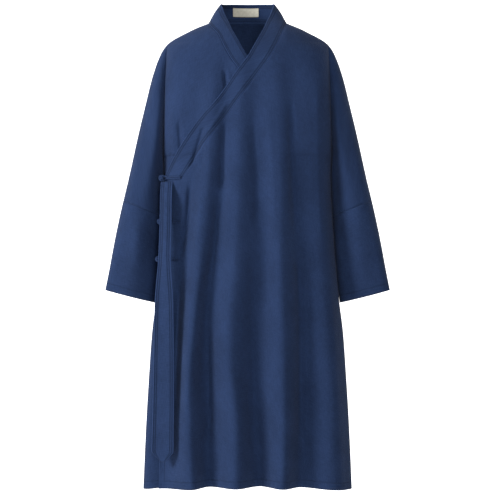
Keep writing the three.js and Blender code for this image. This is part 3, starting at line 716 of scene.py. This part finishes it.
def band_height(share, end):
    """Seam height at a share of the way down the front, in about even lengths of band."""
    roll = OUTER_ROLL_SHARE if end == BAND_END_Z else INNER_ROLL_SHARE
    foot = -ROLL_NECK * ROLL_REACH
    if share < roll:
        return foot * (1 - math.cos(math.pi / 2 * share / roll))
    return mix(foot, end, (share - roll) / (1 - roll))


def band_surface(seam_z, share, outer):
    seam_z = round(seam_z, 3)
    side = 1 if outer else -1
    seam_x = BAND_SEAM.at(seam_z, "x") if outer else inner_seam_x(seam_z)
    seam = (seam_x, front_depth(seam_x, seam_z, outer), seam_z)
    x = mix(seam[0], side * BAND_EDGE.at(seam_z, "x"), share)
    z = round(mix(seam[2], BAND_EDGE.at(seam_z, "z"), share), 3)
    straight = mix(seam[1], BAND_EDGE.at(seam_z, "y"), share)
    settled = ease(clamp((SETTLE_Z - seam_z) / SETTLE_LENGTH))
    if settled == 0:
        return bow_out((x, straight, z), seam, share, clamp(1 + seam_z / BOW_FADE))
    creases = BAND_CREASES if outer else ()
    return x, mix(straight, front_depth(x, z, outer, creases), settled), z


def bow_out(point, seam, share, keep):
    reach = COLLAR_BOW * math.sin(math.pi * share) * keep
    out = Vector((seam[0], seam[1], 0)).normalized() * reach
    return point[0] + out.x, point[1] + out.y, point[2]


def collar_back_point(turn, share):
    seam = neck_seam(abs(turn))
    edge = [COLLAR_BACK.at(abs(turn), name) for name in ("x", "y", "z")]
    x, y, z = bow_out([mix(a, b, share) for a, b in zip(seam, edge)], seam, share, 1)
    return math.copysign(x, turn), y, z


def collar_point(station, share):
    if station <= INNER_STATIONS:
        seam_z = band_height(1 - station / INNER_STATIONS, INNER_BAND_END_Z)
        return band_surface(seam_z, share, False)
    station -= INNER_STATIONS
    if station < BACK_STATIONS:
        return collar_back_point(mix(-90, 90, station / BACK_STATIONS), share)
    station -= BACK_STATIONS
    return band_surface(band_height(station / OUTER_STATIONS, BAND_END_Z), share, True)


def collar(robe):
    cloth = Cloth()
    stations = INNER_STATIONS + BACK_STATIONS + OUTER_STATIONS

    def place(row, column):
        return collar_point(row, column / BAND_COLUMNS)

    def edge(row, column, u, v):
        return v, min(column, BAND_COLUMNS - column) / BAND_COLUMNS * BAND_WIDTH
    cloth.patch(stations, BAND_COLUMNS, place, edge=edge, turned=True)
    piece = cloth.finish("collar_band", robe.band, BAND, "navy_band", ["collar"], rounded=True)


def neck_label(robe):
    cloth = Cloth()
    lift = BAND / 2 + SEAM_GAP + LABEL / 2 + 1

    def place(row, column):
        x = mix(NECK_LABEL["left"], NECK_LABEL["right"], column / 30)
        z = mix(NECK_LABEL["top"], NECK_LABEL["bottom"], row / 10)
        lower = NECK_BACK * math.sqrt(1 - (x / NECK_HALF) ** 2)
        edge = label_edge.at(abs(x), "y")
        share = (z - NECK_RISE) / COLLAR_STAND
        return x, mix(lower, edge, share) + COLLAR_BOW * math.sin(math.pi * share) - lift, z

    def edge(row, column, u, v):
        return u, min(row / 10, 1 - row / 10) * 0.02
    label_edge = Table(("x", "y"), [(0, 58), (18, 56.5), (35, 51.5), (50, 42.5)])
    cloth.patch(10, 30, place, edge=edge)
    piece = cloth.finish("label_cloth", robe.label, LABEL, "label", ["neck_label"], rounded=True)


def ribbon(robe):
    cloth = Cloth()
    top, bottom = RIBBON_LINE.rows[0], RIBBON_LINE.rows[-1]
    rows, columns = 150, 12

    def place(row, column):
        z = mix(top, bottom - RIBBON_POINT, row / rows)
        x, y, width, turn = (RIBBON_LINE.at(z, name) for name in RIBBON_LINE.names)
        across = 2 * column / columns - 1
        if z < bottom:
            across *= mix(1, 0.15, (bottom - z) / RIBBON_POINT)
        open_up = clamp((-560 - z) / 140)
        bend = 2.5 * ease(open_up) * math.cos(2.6 * across + 0.6) - 1.2 * math.cos(across * math.pi)
        return x + across * width / 2, y - across * turn + bend, z

    def edge(row, column, u, v):
        width = RIBBON_LINE.at(mix(top, bottom, row / rows), "width")
        side = min(column, columns - column) / columns * width * MM
        return v, side
    cloth.patch(rows, columns, place, edge=edge)
    piece = cloth.finish("ribbon_cloth", robe.band, RIBBON, "navy_cloth", ["ribbon"], rounded=True)


# Cords: a tube of cloth round a path of points in millimetres
def tube(mesh, path, radius, sides=10, closed=False):
    count = len(path)
    grid = new_grid(mesh, count if closed else count - 1, sides)
    layer = mesh.loops.layers.uv.get("Cloth") or mesh.loops.layers.uv.new("Cloth")
    lengths = [0.0]
    for a, b in zip(path, path[1:] + path[:1]):
        lengths.append(lengths[-1] + (b - a).length)
    frames = []
    side = Vector((0, 0, 1))
    for k in range(count):
        after = path[(k + 1) % count] if closed or k < count - 1 else path[k]
        behind = path[k - 1] if closed or k else path[k]
        ahead = (after - behind).normalized()
        side = (side - ahead * side.dot(ahead)).normalized()
        frames.append((path[k], side.copy(), ahead.cross(side)))
    for (k, j), vert in grid.items():
        centre, first, second = frames[k % count]
        angle = 2 * math.pi * j / sides
        vert.co = (centre + (first * math.cos(angle) + second * math.sin(angle)) * radius) * MM
    place_of = {vert: key for key, vert in grid.items()}
    for face in {face for vert in place_of for face in vert.link_faces}:
        for loop in face.loops:
            k, j = place_of[loop.vert]
            loop[layer].uv = (lengths[k] * MM, j / sides * 2 * math.pi * radius * MM)
    bmesh.ops.remove_doubles(mesh, verts=list(place_of), dist=0.01 * MM)
    if not closed:
        ends = [edge for edge in mesh.edges if edge.is_boundary]
        bmesh.ops.holes_fill(mesh, edges=ends, sides=sides)


def frog_point(x, z):
    rest = OUTER_EDGE[0] + EDGE_REST
    at = max(x, rest)
    point = Vector((at, front_depth(at, z, True), z))
    point += front_normal(at, z, True) * (CLOTH / 2 + SEAM_GAP + CORD + CORD_LIFT)
    point.x += x - at
    return point


def smooth_path(points, steps):
    """A path through the points, each stretch with its own share of the steps."""
    path = []
    count = len(points)
    for k in range(count - 1):
        before = points[max(k - 1, 0)]
        after = points[min(k + 2, count - 1)]
        one = points[k] + (points[k + 1] - before) / 6
        two = points[k + 1] - (after - points[k]) / 6
        stretch = interpolate_bezier(points[k], one, two, points[k + 1], steps + 1)
        path.extend(stretch[:-1])
    return [Vector(point) for point in path] + [points[-1]]


def cord_piece(mesh, name, robe, node):
    bmesh.ops.recalc_face_normals(mesh, faces=mesh.faces)
    declare(new_piece(mesh, name, robe.cord), "cord", [node])


def cord_loop(robe, number, z, knot, end):
    def surface(x, height):
        return frog_point(x, z).to_2d().to_3d() + Vector((0, 0, height))
    start = knot + NOSE + LOOP_NECK
    apart = CORD + CORD_APART
    points = [surface(mix(end, start, n / 6), z + apart) for n in range(7)]
    for n in range(11):
        turn = math.radians(mix(*NOSE_TURN, n / 10))
        points.append(surface(knot + NOSE * math.cos(turn), z + NOSE * math.sin(turn)))
    points += [surface(mix(end, start, n / 6), z - apart) for n in range(6, -1, -1)]
    mesh = bmesh.new()
    tube(mesh, smooth_path(points, 4), CORD)
    cord_piece(mesh, f"loop_{number}_cord", robe, f"loop_{number}")


def cord_knot(robe, number, z, x):
    """A ball knot: one cord wound three times round, over and under itself, and its shank."""
    centre = frog_point(x, z)
    centre.y -= KNOT_PROUD
    foot_at = -(body_half(z) - KNOT_INSET)
    foot = Vector((foot_at, front_depth(foot_at, z, False), z))
    foot += front_normal(foot_at, z, False) * (CLOTH / 2 + SEAM_GAP + CORD)
    axis = (foot - centre).normalized()
    first = axis.orthogonal().normalized()
    second = axis.cross(first)
    winding = []
    for n in range(KNOT_STEPS):
        turn = 2 * math.pi * KNOT_TURNS * n / KNOT_STEPS
        lift = math.radians(KNOT_LIFT) * math.cos(KNOT_LEAVES / KNOT_TURNS * turn)
        weave = KNOT_WEAVE * math.sin(2 * KNOT_LEAVES / KNOT_TURNS * turn)
        reach = KNOT - STRAND - STRAND_CLEAR + weave
        flat = first * math.cos(turn) + second * math.sin(turn)
        winding.append(centre + (flat * math.cos(lift) + axis * math.sin(lift)) * reach)
    mesh = bmesh.new()
    tube(mesh, winding, STRAND, 8, closed=True)
    shank = [centre + axis * (share * (foot - centre).length) for share in (0, 0.25, 0.5, 0.75, 1)]
    tube(mesh, smooth_path(shank, 3), CORD - SHANK_THINNER)
    cord_piece(mesh, f"knot_{number}_cord", robe, f"knot_{number}")


# Finishes
class Value:
    """A number on a socket, for shader maths in plain expressions."""

    def __init__(self, finish, socket):
        self.finish = finish
        self.socket = socket

    def maths(self, operation, *others, clamp=False):
        inputs = {0: self, **{i + 1: other for i, other in enumerate(others)}}
        settings = {"operation": operation, "use_clamp": clamp}
        return self.finish.node("ShaderNodeMath", settings, inputs)

    def __add__(self, other):
        return self.maths("ADD", other)

    def __sub__(self, other):
        return self.maths("SUBTRACT", other)

    def __mul__(self, other):
        return self.maths("MULTIPLY", other)

    def __rsub__(self, other):
        return (self * -1) + other

    __radd__ = __add__
    __rmul__ = __mul__

    def sine(self):
        return self.maths("SINE")

    def size(self):
        return self.maths("ABSOLUTE")

    def between(self, low, high):
        """0 at low and below, 1 at high and above, eased."""
        settings = {"interpolation_type": "SMOOTHSTEP"}
        inputs = {"Value": self, "From Min": low, "From Max": high}
        return self.finish.node("ShaderNodeMapRange", settings, inputs, "Result")

    def band(self, middle, width):
        """1 on a narrow line at the middle value, 0 beyond the width on both sides."""
        return 1 - (self - middle).size().between(0, width)


class Finish:
    """One procedural material."""

    def __init__(self, name):
        self.material = bpy.data.materials.new(name)
        self.material.use_nodes = True
        self.tree = self.material.node_tree
        self.tree.nodes.clear()

    def node(self, kind, settings=None, inputs=None, output=0):
        node = self.tree.nodes.new(kind)
        for key, value in (settings or {}).items():
            setattr(node, key, value)
        for key, value in (inputs or {}).items():
            if isinstance(value, Value):
                self.tree.links.new(value.socket, node.inputs[key])
            else:
                node.inputs[key].default_value = value
        return Value(self, node.outputs[output]) if node.outputs else None

    def map(self, name):
        return self.node("ShaderNodeUVMap", {"uv_map": name})

    def parts(self, vector):
        node = self.tree.nodes.new("ShaderNodeSeparateXYZ")
        self.tree.links.new(vector.socket, node.inputs[0])
        return Value(self, node.outputs[0]), Value(self, node.outputs[1])

    def scaled(self, vector, scale):
        return self.node("ShaderNodeVectorMath", {"operation": "MULTIPLY"}, {0: vector, 1: scale})

    def noise(self, vector, scale, detail=2.0, roughness=0.5):
        inputs = {"Vector": vector, "Scale": scale, "Detail": detail, "Roughness": roughness}
        return self.node("ShaderNodeTexNoise", {}, inputs, "Fac")

    def blend(self, share, first, second):
        settings = {"data_type": "RGBA", "clamp_factor": True}
        node = self.tree.nodes.new("ShaderNodeMix")
        for key, value in settings.items():
            setattr(node, key, value)
        places = {0: share, 6: first, 7: second}
        for place, value in places.items():
            if isinstance(value, Value):
                self.tree.links.new(value.socket, node.inputs[place])
            else:
                node.inputs[place].default_value = (*value, 1) if place else value
        return Value(self, node.outputs[2])

    def bump(self, height, distance, strength=1.0):
        inputs = {"Height": height, "Distance": distance, "Strength": strength}
        return self.node("ShaderNodeBump", {}, inputs)

    def close(self, color, roughness, normal, sheen=0.0):
        shader = self.node("ShaderNodeBsdfPrincipled", {}, {
            "Base Color": color, "Roughness": roughness, "Normal": normal,
            "Specular IOR Level": 0.06, "Sheen Weight": sheen, "Sheen Roughness": 0.5,
        })
        self.node("ShaderNodeOutputMaterial", {}, {"Surface": shader})
        return self.material


def threads(finish, vector, spacing):
    """Height of a plain weave with thread slubs, from 0 to 1."""
    across, along = finish.parts(vector)
    turn = 2 * math.pi / spacing
    warp = (across * turn).sine()
    weft = (along * turn).sine()
    check = ((across * (turn / 2)).sine() * (along * (turn / 2)).sine()).between(-0.2, 0.2)
    return (warp * check + weft * (1 - check)) * 0.5 + 0.5


def stitches(finish, along, distance, rows, pitch=0.0031):
    """Sewn rows at set distances from an edge: where thread shows, and the dent that it pulls."""
    dash = (along * (2 * math.pi / pitch)).sine().between(-0.35, 0.1)
    line = None
    dent = None
    for row in rows:
        one = distance.band(row, 0.0008)
        wide = distance.band(row, 0.0022)
        line = one if line is None else line.maths("MAXIMUM", one)
        dent = wide if dent is None else dent.maths("MAXIMUM", wide)
    return line * dash, dent


def navy_finish(name, sizes, rows, painted_light_strength, base):
    """Matt navy cloth of cotton and linen, with slubs, and sewn rows that draw the cloth in; their
    dents get painted shade, and the hems and edges a painted highlight.
    """
    finish = Finish(name)
    vector = finish.map("Cloth")
    weave = threads(finish, vector, sizes.thread)
    slub_down = finish.noise(finish.scaled(vector, (700.0, 60.0, 1.0)), 1.0, 3.0, 0.6)
    slub_across = finish.noise(finish.scaled(vector, (60.0, 700.0, 1.0)), 1.0, 3.0, 0.6)
    patchy = finish.noise(finish.scaled(vector, (14.0, 9.0, 1.0)), 1.0, 3.0, 0.55)
    place, distance = finish.parts(finish.map("Edge"))
    stitch, dent = stitches(finish, place, distance, rows)
    # Painted highlight: 1 on a hem or edge, fading out within 1.6 mm of it.
    edge = 1 - distance.between(0.0, 0.0016)
    slubs = (slub_down + slub_across) * 0.5
    shade = (slubs.between(0.38, 0.62) * 0.5 + patchy.between(0.3, 0.7) * 0.3 + weave * 0.2)
    dark = [c * 0.7 for c in base]
    light = [c * 1.36 for c in base]
    color = finish.blend(shade, dark, light)
    # Painted shade: the colour darkens in the dents of the sewn rows.
    color = finish.blend(dent * painted_light_strength, color, [c * 0.3 for c in base])
    # Lighter thread where the stitches show, and the painted highlight along the hems and edges.
    color = finish.blend(stitch * 0.3 + edge * painted_light_strength, color, [c * 2.1 for c in base])
    roughness = 0.94 - slubs * 0.12
    height = weave * 0.35 + slubs * 0.65 - dent * 2.0 + stitch * 1.2
    normal = finish.bump(height, 0.0005, 0.7)
    return finish.close(color, roughness, normal, 0.03)


def cord_finish(name, base):
    """Rolled cloth cord, with a sewn edge."""
    finish = Finish(name)
    vector = finish.map("Cloth")
    weave = threads(finish, vector, 0.0007)
    grain = finish.noise(finish.scaled(vector, (900.0, 160.0, 1.0)), 1.0, 3.0, 0.6)
    place, distance = finish.parts(finish.map("Edge"))
    stitch, dent = stitches(finish, place, distance, (0.0026,))
    dark = [c * 0.84 for c in base]
    light = [c * 1.2 for c in base]
    color = finish.blend(grain.between(0.35, 0.65), dark, light)
    color = finish.blend(stitch * 0.6, color, [c * 1.6 for c in base])
    normal = finish.bump(weave * 0.5 + grain * 0.5 - dent + stitch, 0.0004, 0.7)
    return finish.close(color, 0.9 - grain * 0.1, normal, 0.03)


def label_finish(name, base):
    """Smooth woven cream label with a sewn border, left without words."""
    finish = Finish(name)
    vector = finish.map("Cloth")
    weave = threads(finish, vector, 0.0005)
    uneven = finish.noise(vector, 160.0, 3.0, 0.6)
    place, distance = finish.parts(finish.map("Edge"))
    stitch, dent = stitches(finish, place, distance, (0.0014,), 0.0024)
    color = finish.blend(uneven.between(0.3, 0.7), [c * 0.86 for c in base], base)
    # Painted shade in the dent of the sewn border, and darker thread where the stitches show.
    color = finish.blend(dent * 0.3 + stitch * 0.3, color, [c * 0.66 for c in base])
    normal = finish.bump(weave * 0.6 + uneven * 0.4 - dent, 0.0003, 0.6)
    return finish.close(color, 0.85 - weave * 0.1, normal)


Cloths = namedtuple("Cloths", "cloth band cord label")
FINISH_NAMES = Cloths("Navy cloth", "Navy band", "Navy cord", "Label")
# Sewn rows in metres from the edge
HEM_ROWS = (0.018,)
BAND_ROWS = (0.0042, 0.009)


def cloths(context):
    """The finishes, made for the first piece and shared by the others."""
    if FINISH_NAMES.cloth not in bpy.data.materials:
        sizes = context.scene.robe_sizes
        navy = list(sizes.navy)
        # The number after the sewn rows sets the strength of the painted shade in the dents and of
        # the painted highlight along the edges.
        navy_finish(FINISH_NAMES.cloth, sizes, HEM_ROWS, 0.4, navy)
        navy_finish(FINISH_NAMES.band, sizes, BAND_ROWS, 0.8, [c * 1.02 for c in navy])
        cord_finish(FINISH_NAMES.cord, [c * 1.12 for c in navy])
        label_finish(FINISH_NAMES.label, list(sizes.cream))
    return Cloths(*(bpy.data.materials[name] for name in FINISH_NAMES))


class RobeSizes(bpy.types.PropertyGroup):
    thread: FloatProperty(
        name="Thread spacing", description="From one warp thread to the next",
        default=0.0009, min=0.0003, max=0.003, unit="LENGTH", precision=5,
    )
    navy: FloatVectorProperty(
        name="Navy", description="Colour of the body cloth", subtype="COLOR",
        default=(0.016, 0.030, 0.076), min=0, max=1,
    )
    cream: FloatVectorProperty(
        name="Cream", description="Colour of the neck label", subtype="COLOR",
        default=(0.62, 0.58, 0.48), min=0, max=1,
    )


class StageSizes(bpy.types.PropertyGroup):
    distance: FloatProperty(
        name="Camera distance", description="From the camera to the robe's middle",
        default=4.0, min=1, max=10, unit="LENGTH",
    )
    height: FloatProperty(
        name="Camera height", description="Height of the camera's line of sight",
        default=-0.565, unit="LENGTH",
    )
    lens: FloatProperty(
        name="Lens", description="Focal length in millimetres", default=115.2, min=20, max=300,
    )
    key: FloatProperty(
        name="Main light", description="Power of the large soft light on the left",
        default=195, min=0, max=1000, unit="POWER",
    )
    neck: FloatProperty(
        name="Neck light", description="Power of the small light that reaches inside the collar",
        default=9, min=0, max=100, unit="POWER",
    )
    soft: FloatProperty(
        name="Soft light", description="Power of the light near the camera",
        default=85, min=0, max=1000, unit="POWER",
    )
    fill: FloatProperty(
        name="Fill", description="Strength of the even light from all sides",
        default=0.13, min=0, max=2,
    )
    backdrop: FloatProperty(
        name="Backdrop", description="Distance of the backdrop behind the robe",
        default=5.0, min=1, max=20, unit="LENGTH",
    )
    floor: FloatProperty(
        name="Floor height", description="Height of the floor under the hem",
        default=-2.0, unit="LENGTH",
    )


class ROBE_OT_fronts(bpy.types.Operator):
    """Add the two fronts, each in one with half of its upper sleeve"""
    bl_idname = "robe.fronts"
    bl_label = "Fronts"

    def execute(self, context):
        robe = cloths(context)
        front_outer(robe)
        front_inner(robe)
        return {"FINISHED"}


class ROBE_OT_back(bpy.types.Operator):
    """Add the back, in one with the backs of both upper sleeves"""
    bl_idname = "robe.back"
    bl_label = "Back"

    def execute(self, context):
        back(cloths(context))
        return {"FINISHED"}


class ROBE_OT_sleeve_ends(bpy.types.Operator):
    """Add the two lengthening pieces of the sleeves, elbow to cuff"""
    bl_idname = "robe.sleeve_ends"
    bl_label = "Sleeve ends"

    def execute(self, context):
        robe = cloths(context)
        sleeve_end(robe, 1, "sleeve_left_cloth", "sleeve_end_left")
        sleeve_end(robe, -1, "sleeve_right_cloth", "sleeve_end_right")
        return {"FINISHED"}


class ROBE_OT_collar(bpy.types.Operator):
    """Add the collar band and the label inside it"""
    bl_idname = "robe.collar"
    bl_label = "Collar band"

    def execute(self, context):
        robe = cloths(context)
        collar(robe)
        neck_label(robe)
        return {"FINISHED"}


class ROBE_OT_fastenings(bpy.types.Operator):
    """Add the cord loops, their knots and the hanging ribbon"""
    bl_idname = "robe.fastenings"
    bl_label = "Loops, knots and ribbon"

    def execute(self, context):
        robe = cloths(context)
        for number, (z, knot, end) in enumerate(FROGS, 1):
            cord_loop(robe, number, z, knot, end)
            cord_knot(robe, number, z, knot)
        ribbon(robe)
        return {"FINISHED"}


LIGHT_COLOR = (0.94, 0.97, 1.0)
MAIN_LIGHT = {"place": (-3.4, -1.9, 0.6), "size": 1.6}
NECK_LIGHT = {"place": (0.1, -1.3, 1.0), "size": 0.3}
SOFT_LIGHT = {"place": (0.5, -5.2, 0.1), "size": 2.0}
NECK = (0.0, 0.06, -0.05)


def area_light(name, light, target, power):
    data = bpy.data.lights.new(name, "AREA")
    data.shape = "DISK"
    data.size = light["size"]
    data.energy = power
    data.color = LIGHT_COLOR
    lamp = bpy.data.objects.new(name, data)
    lamp.location = light["place"]
    aim = Vector(target) - lamp.location
    lamp.rotation_euler = aim.to_track_quat("-Z", "Y").to_euler()
    bpy.context.scene.collection.objects.link(lamp)


def paper_finish(name, glow):
    """Pale paper; the backdrop is bright by itself, so that it stays even behind the robe."""
    finish = Finish(name)
    grain = finish.noise(finish.node("ShaderNodeTexCoord", {}, {}, "Object"), 3.0)
    color = finish.blend(grain, (0.93, 0.93, 0.93), (0.97, 0.97, 0.97))
    normal = finish.bump(grain, 0.0005, 0.1)
    shader = finish.node("ShaderNodeBsdfPrincipled", {}, {
        "Base Color": color, "Roughness": 0.9, "Normal": normal, "Specular IOR Level": 0.0,
        "Emission Color": (1, 1, 1, 1), "Emission Strength": glow,
    })
    finish.node("ShaderNodeOutputMaterial", {}, {"Surface": shader})
    return finish.material


SHEET_HALF = 12


def stage_sheet(name, material, place, tilt):
    mesh = bmesh.new()
    bmesh.ops.create_grid(mesh, x_segments=1, y_segments=1, size=SHEET_HALF)
    data = bpy.data.meshes.new(name)
    mesh.to_mesh(data)
    mesh.free()
    data.materials.append(material)
    sheet = bpy.data.objects.new(name, data)
    sheet.location = place
    sheet.rotation_euler = (tilt, 0, 0)
    bpy.context.scene.collection.objects.link(sheet)


class ROBE_OT_stage(bpy.types.Operator):
    """Add the camera, the soft lights and the pale floor"""
    bl_idname = "robe.stage"
    bl_label = "Stage"

    def execute(self, context):
        sizes = context.scene.robe_stage
        middle = (0.006, 0.0, sizes.height)
        data = bpy.data.cameras.new("Camera")
        data.lens = sizes.lens
        data.sensor_width = 36
        camera = bpy.data.objects.new("Camera", data)
        camera.location = (middle[0], -sizes.distance, sizes.height)
        camera.rotation_euler = (math.pi / 2, 0, 0)
        context.scene.collection.objects.link(camera)
        context.scene.camera = camera

        world = bpy.data.worlds.new("Studio")
        world.use_nodes = True
        world.node_tree.nodes["Background"].inputs["Color"].default_value = (1, 1, 1, 1)
        world.node_tree.nodes["Background"].inputs["Strength"].default_value = sizes.fill
        context.scene.world = world
        context.scene.view_settings.view_transform = "Standard"
        area_light("Main light", MAIN_LIGHT, middle, sizes.key)
        area_light("Neck light", NECK_LIGHT, NECK, sizes.neck)
        area_light("Soft light", SOFT_LIGHT, middle, sizes.soft)

        stage_sheet("floor", paper_finish("Pale floor", 0.0), (0, 0, sizes.floor), 0)
        behind = (0, sizes.backdrop, sizes.floor + SHEET_HALF)
        stage_sheet("backdrop", paper_finish("White backdrop", 1.0), behind, math.pi / 2)
        return {"FINISHED"}


class ROBE_PT_panel(bpy.types.Panel):
    bl_idname = "ROBE_PT_panel"
    bl_label = "Robe"
    bl_space_type = "VIEW_3D"
    bl_region_type = "UI"
    bl_category = "Robe"

    def draw(self, context):
        layout = self.layout
        for name in RobeSizes.__annotations__:
            layout.prop(context.scene.robe_sizes, name)
        for name in StageSizes.__annotations__:
            layout.prop(context.scene.robe_stage, name)
        for operator in OPERATORS:
            layout.operator(operator.bl_idname)


OPERATORS = (
    ROBE_OT_stage, ROBE_OT_fronts, ROBE_OT_back, ROBE_OT_sleeve_ends, ROBE_OT_collar,
    ROBE_OT_fastenings,
)
CLASSES = (RobeSizes, StageSizes, *OPERATORS, ROBE_PT_panel)


def register():
    for cls in CLASSES:
        bpy.utils.register_class(cls)
    bpy.types.Scene.robe_sizes = PointerProperty(type=RobeSizes)
    bpy.types.Scene.robe_stage = PointerProperty(type=StageSizes)


def unregister():
    del bpy.types.Scene.robe_stage
    del bpy.types.Scene.robe_sizes
    for cls in reversed(CLASSES):
        bpy.utils.unregister_class(cls)


def main():
    register()
    for operator in OPERATORS:
        group, name = operator.bl_idname.split(".")
        getattr(getattr(bpy.ops, group), name)()


if __name__ == "__main__":
    main()
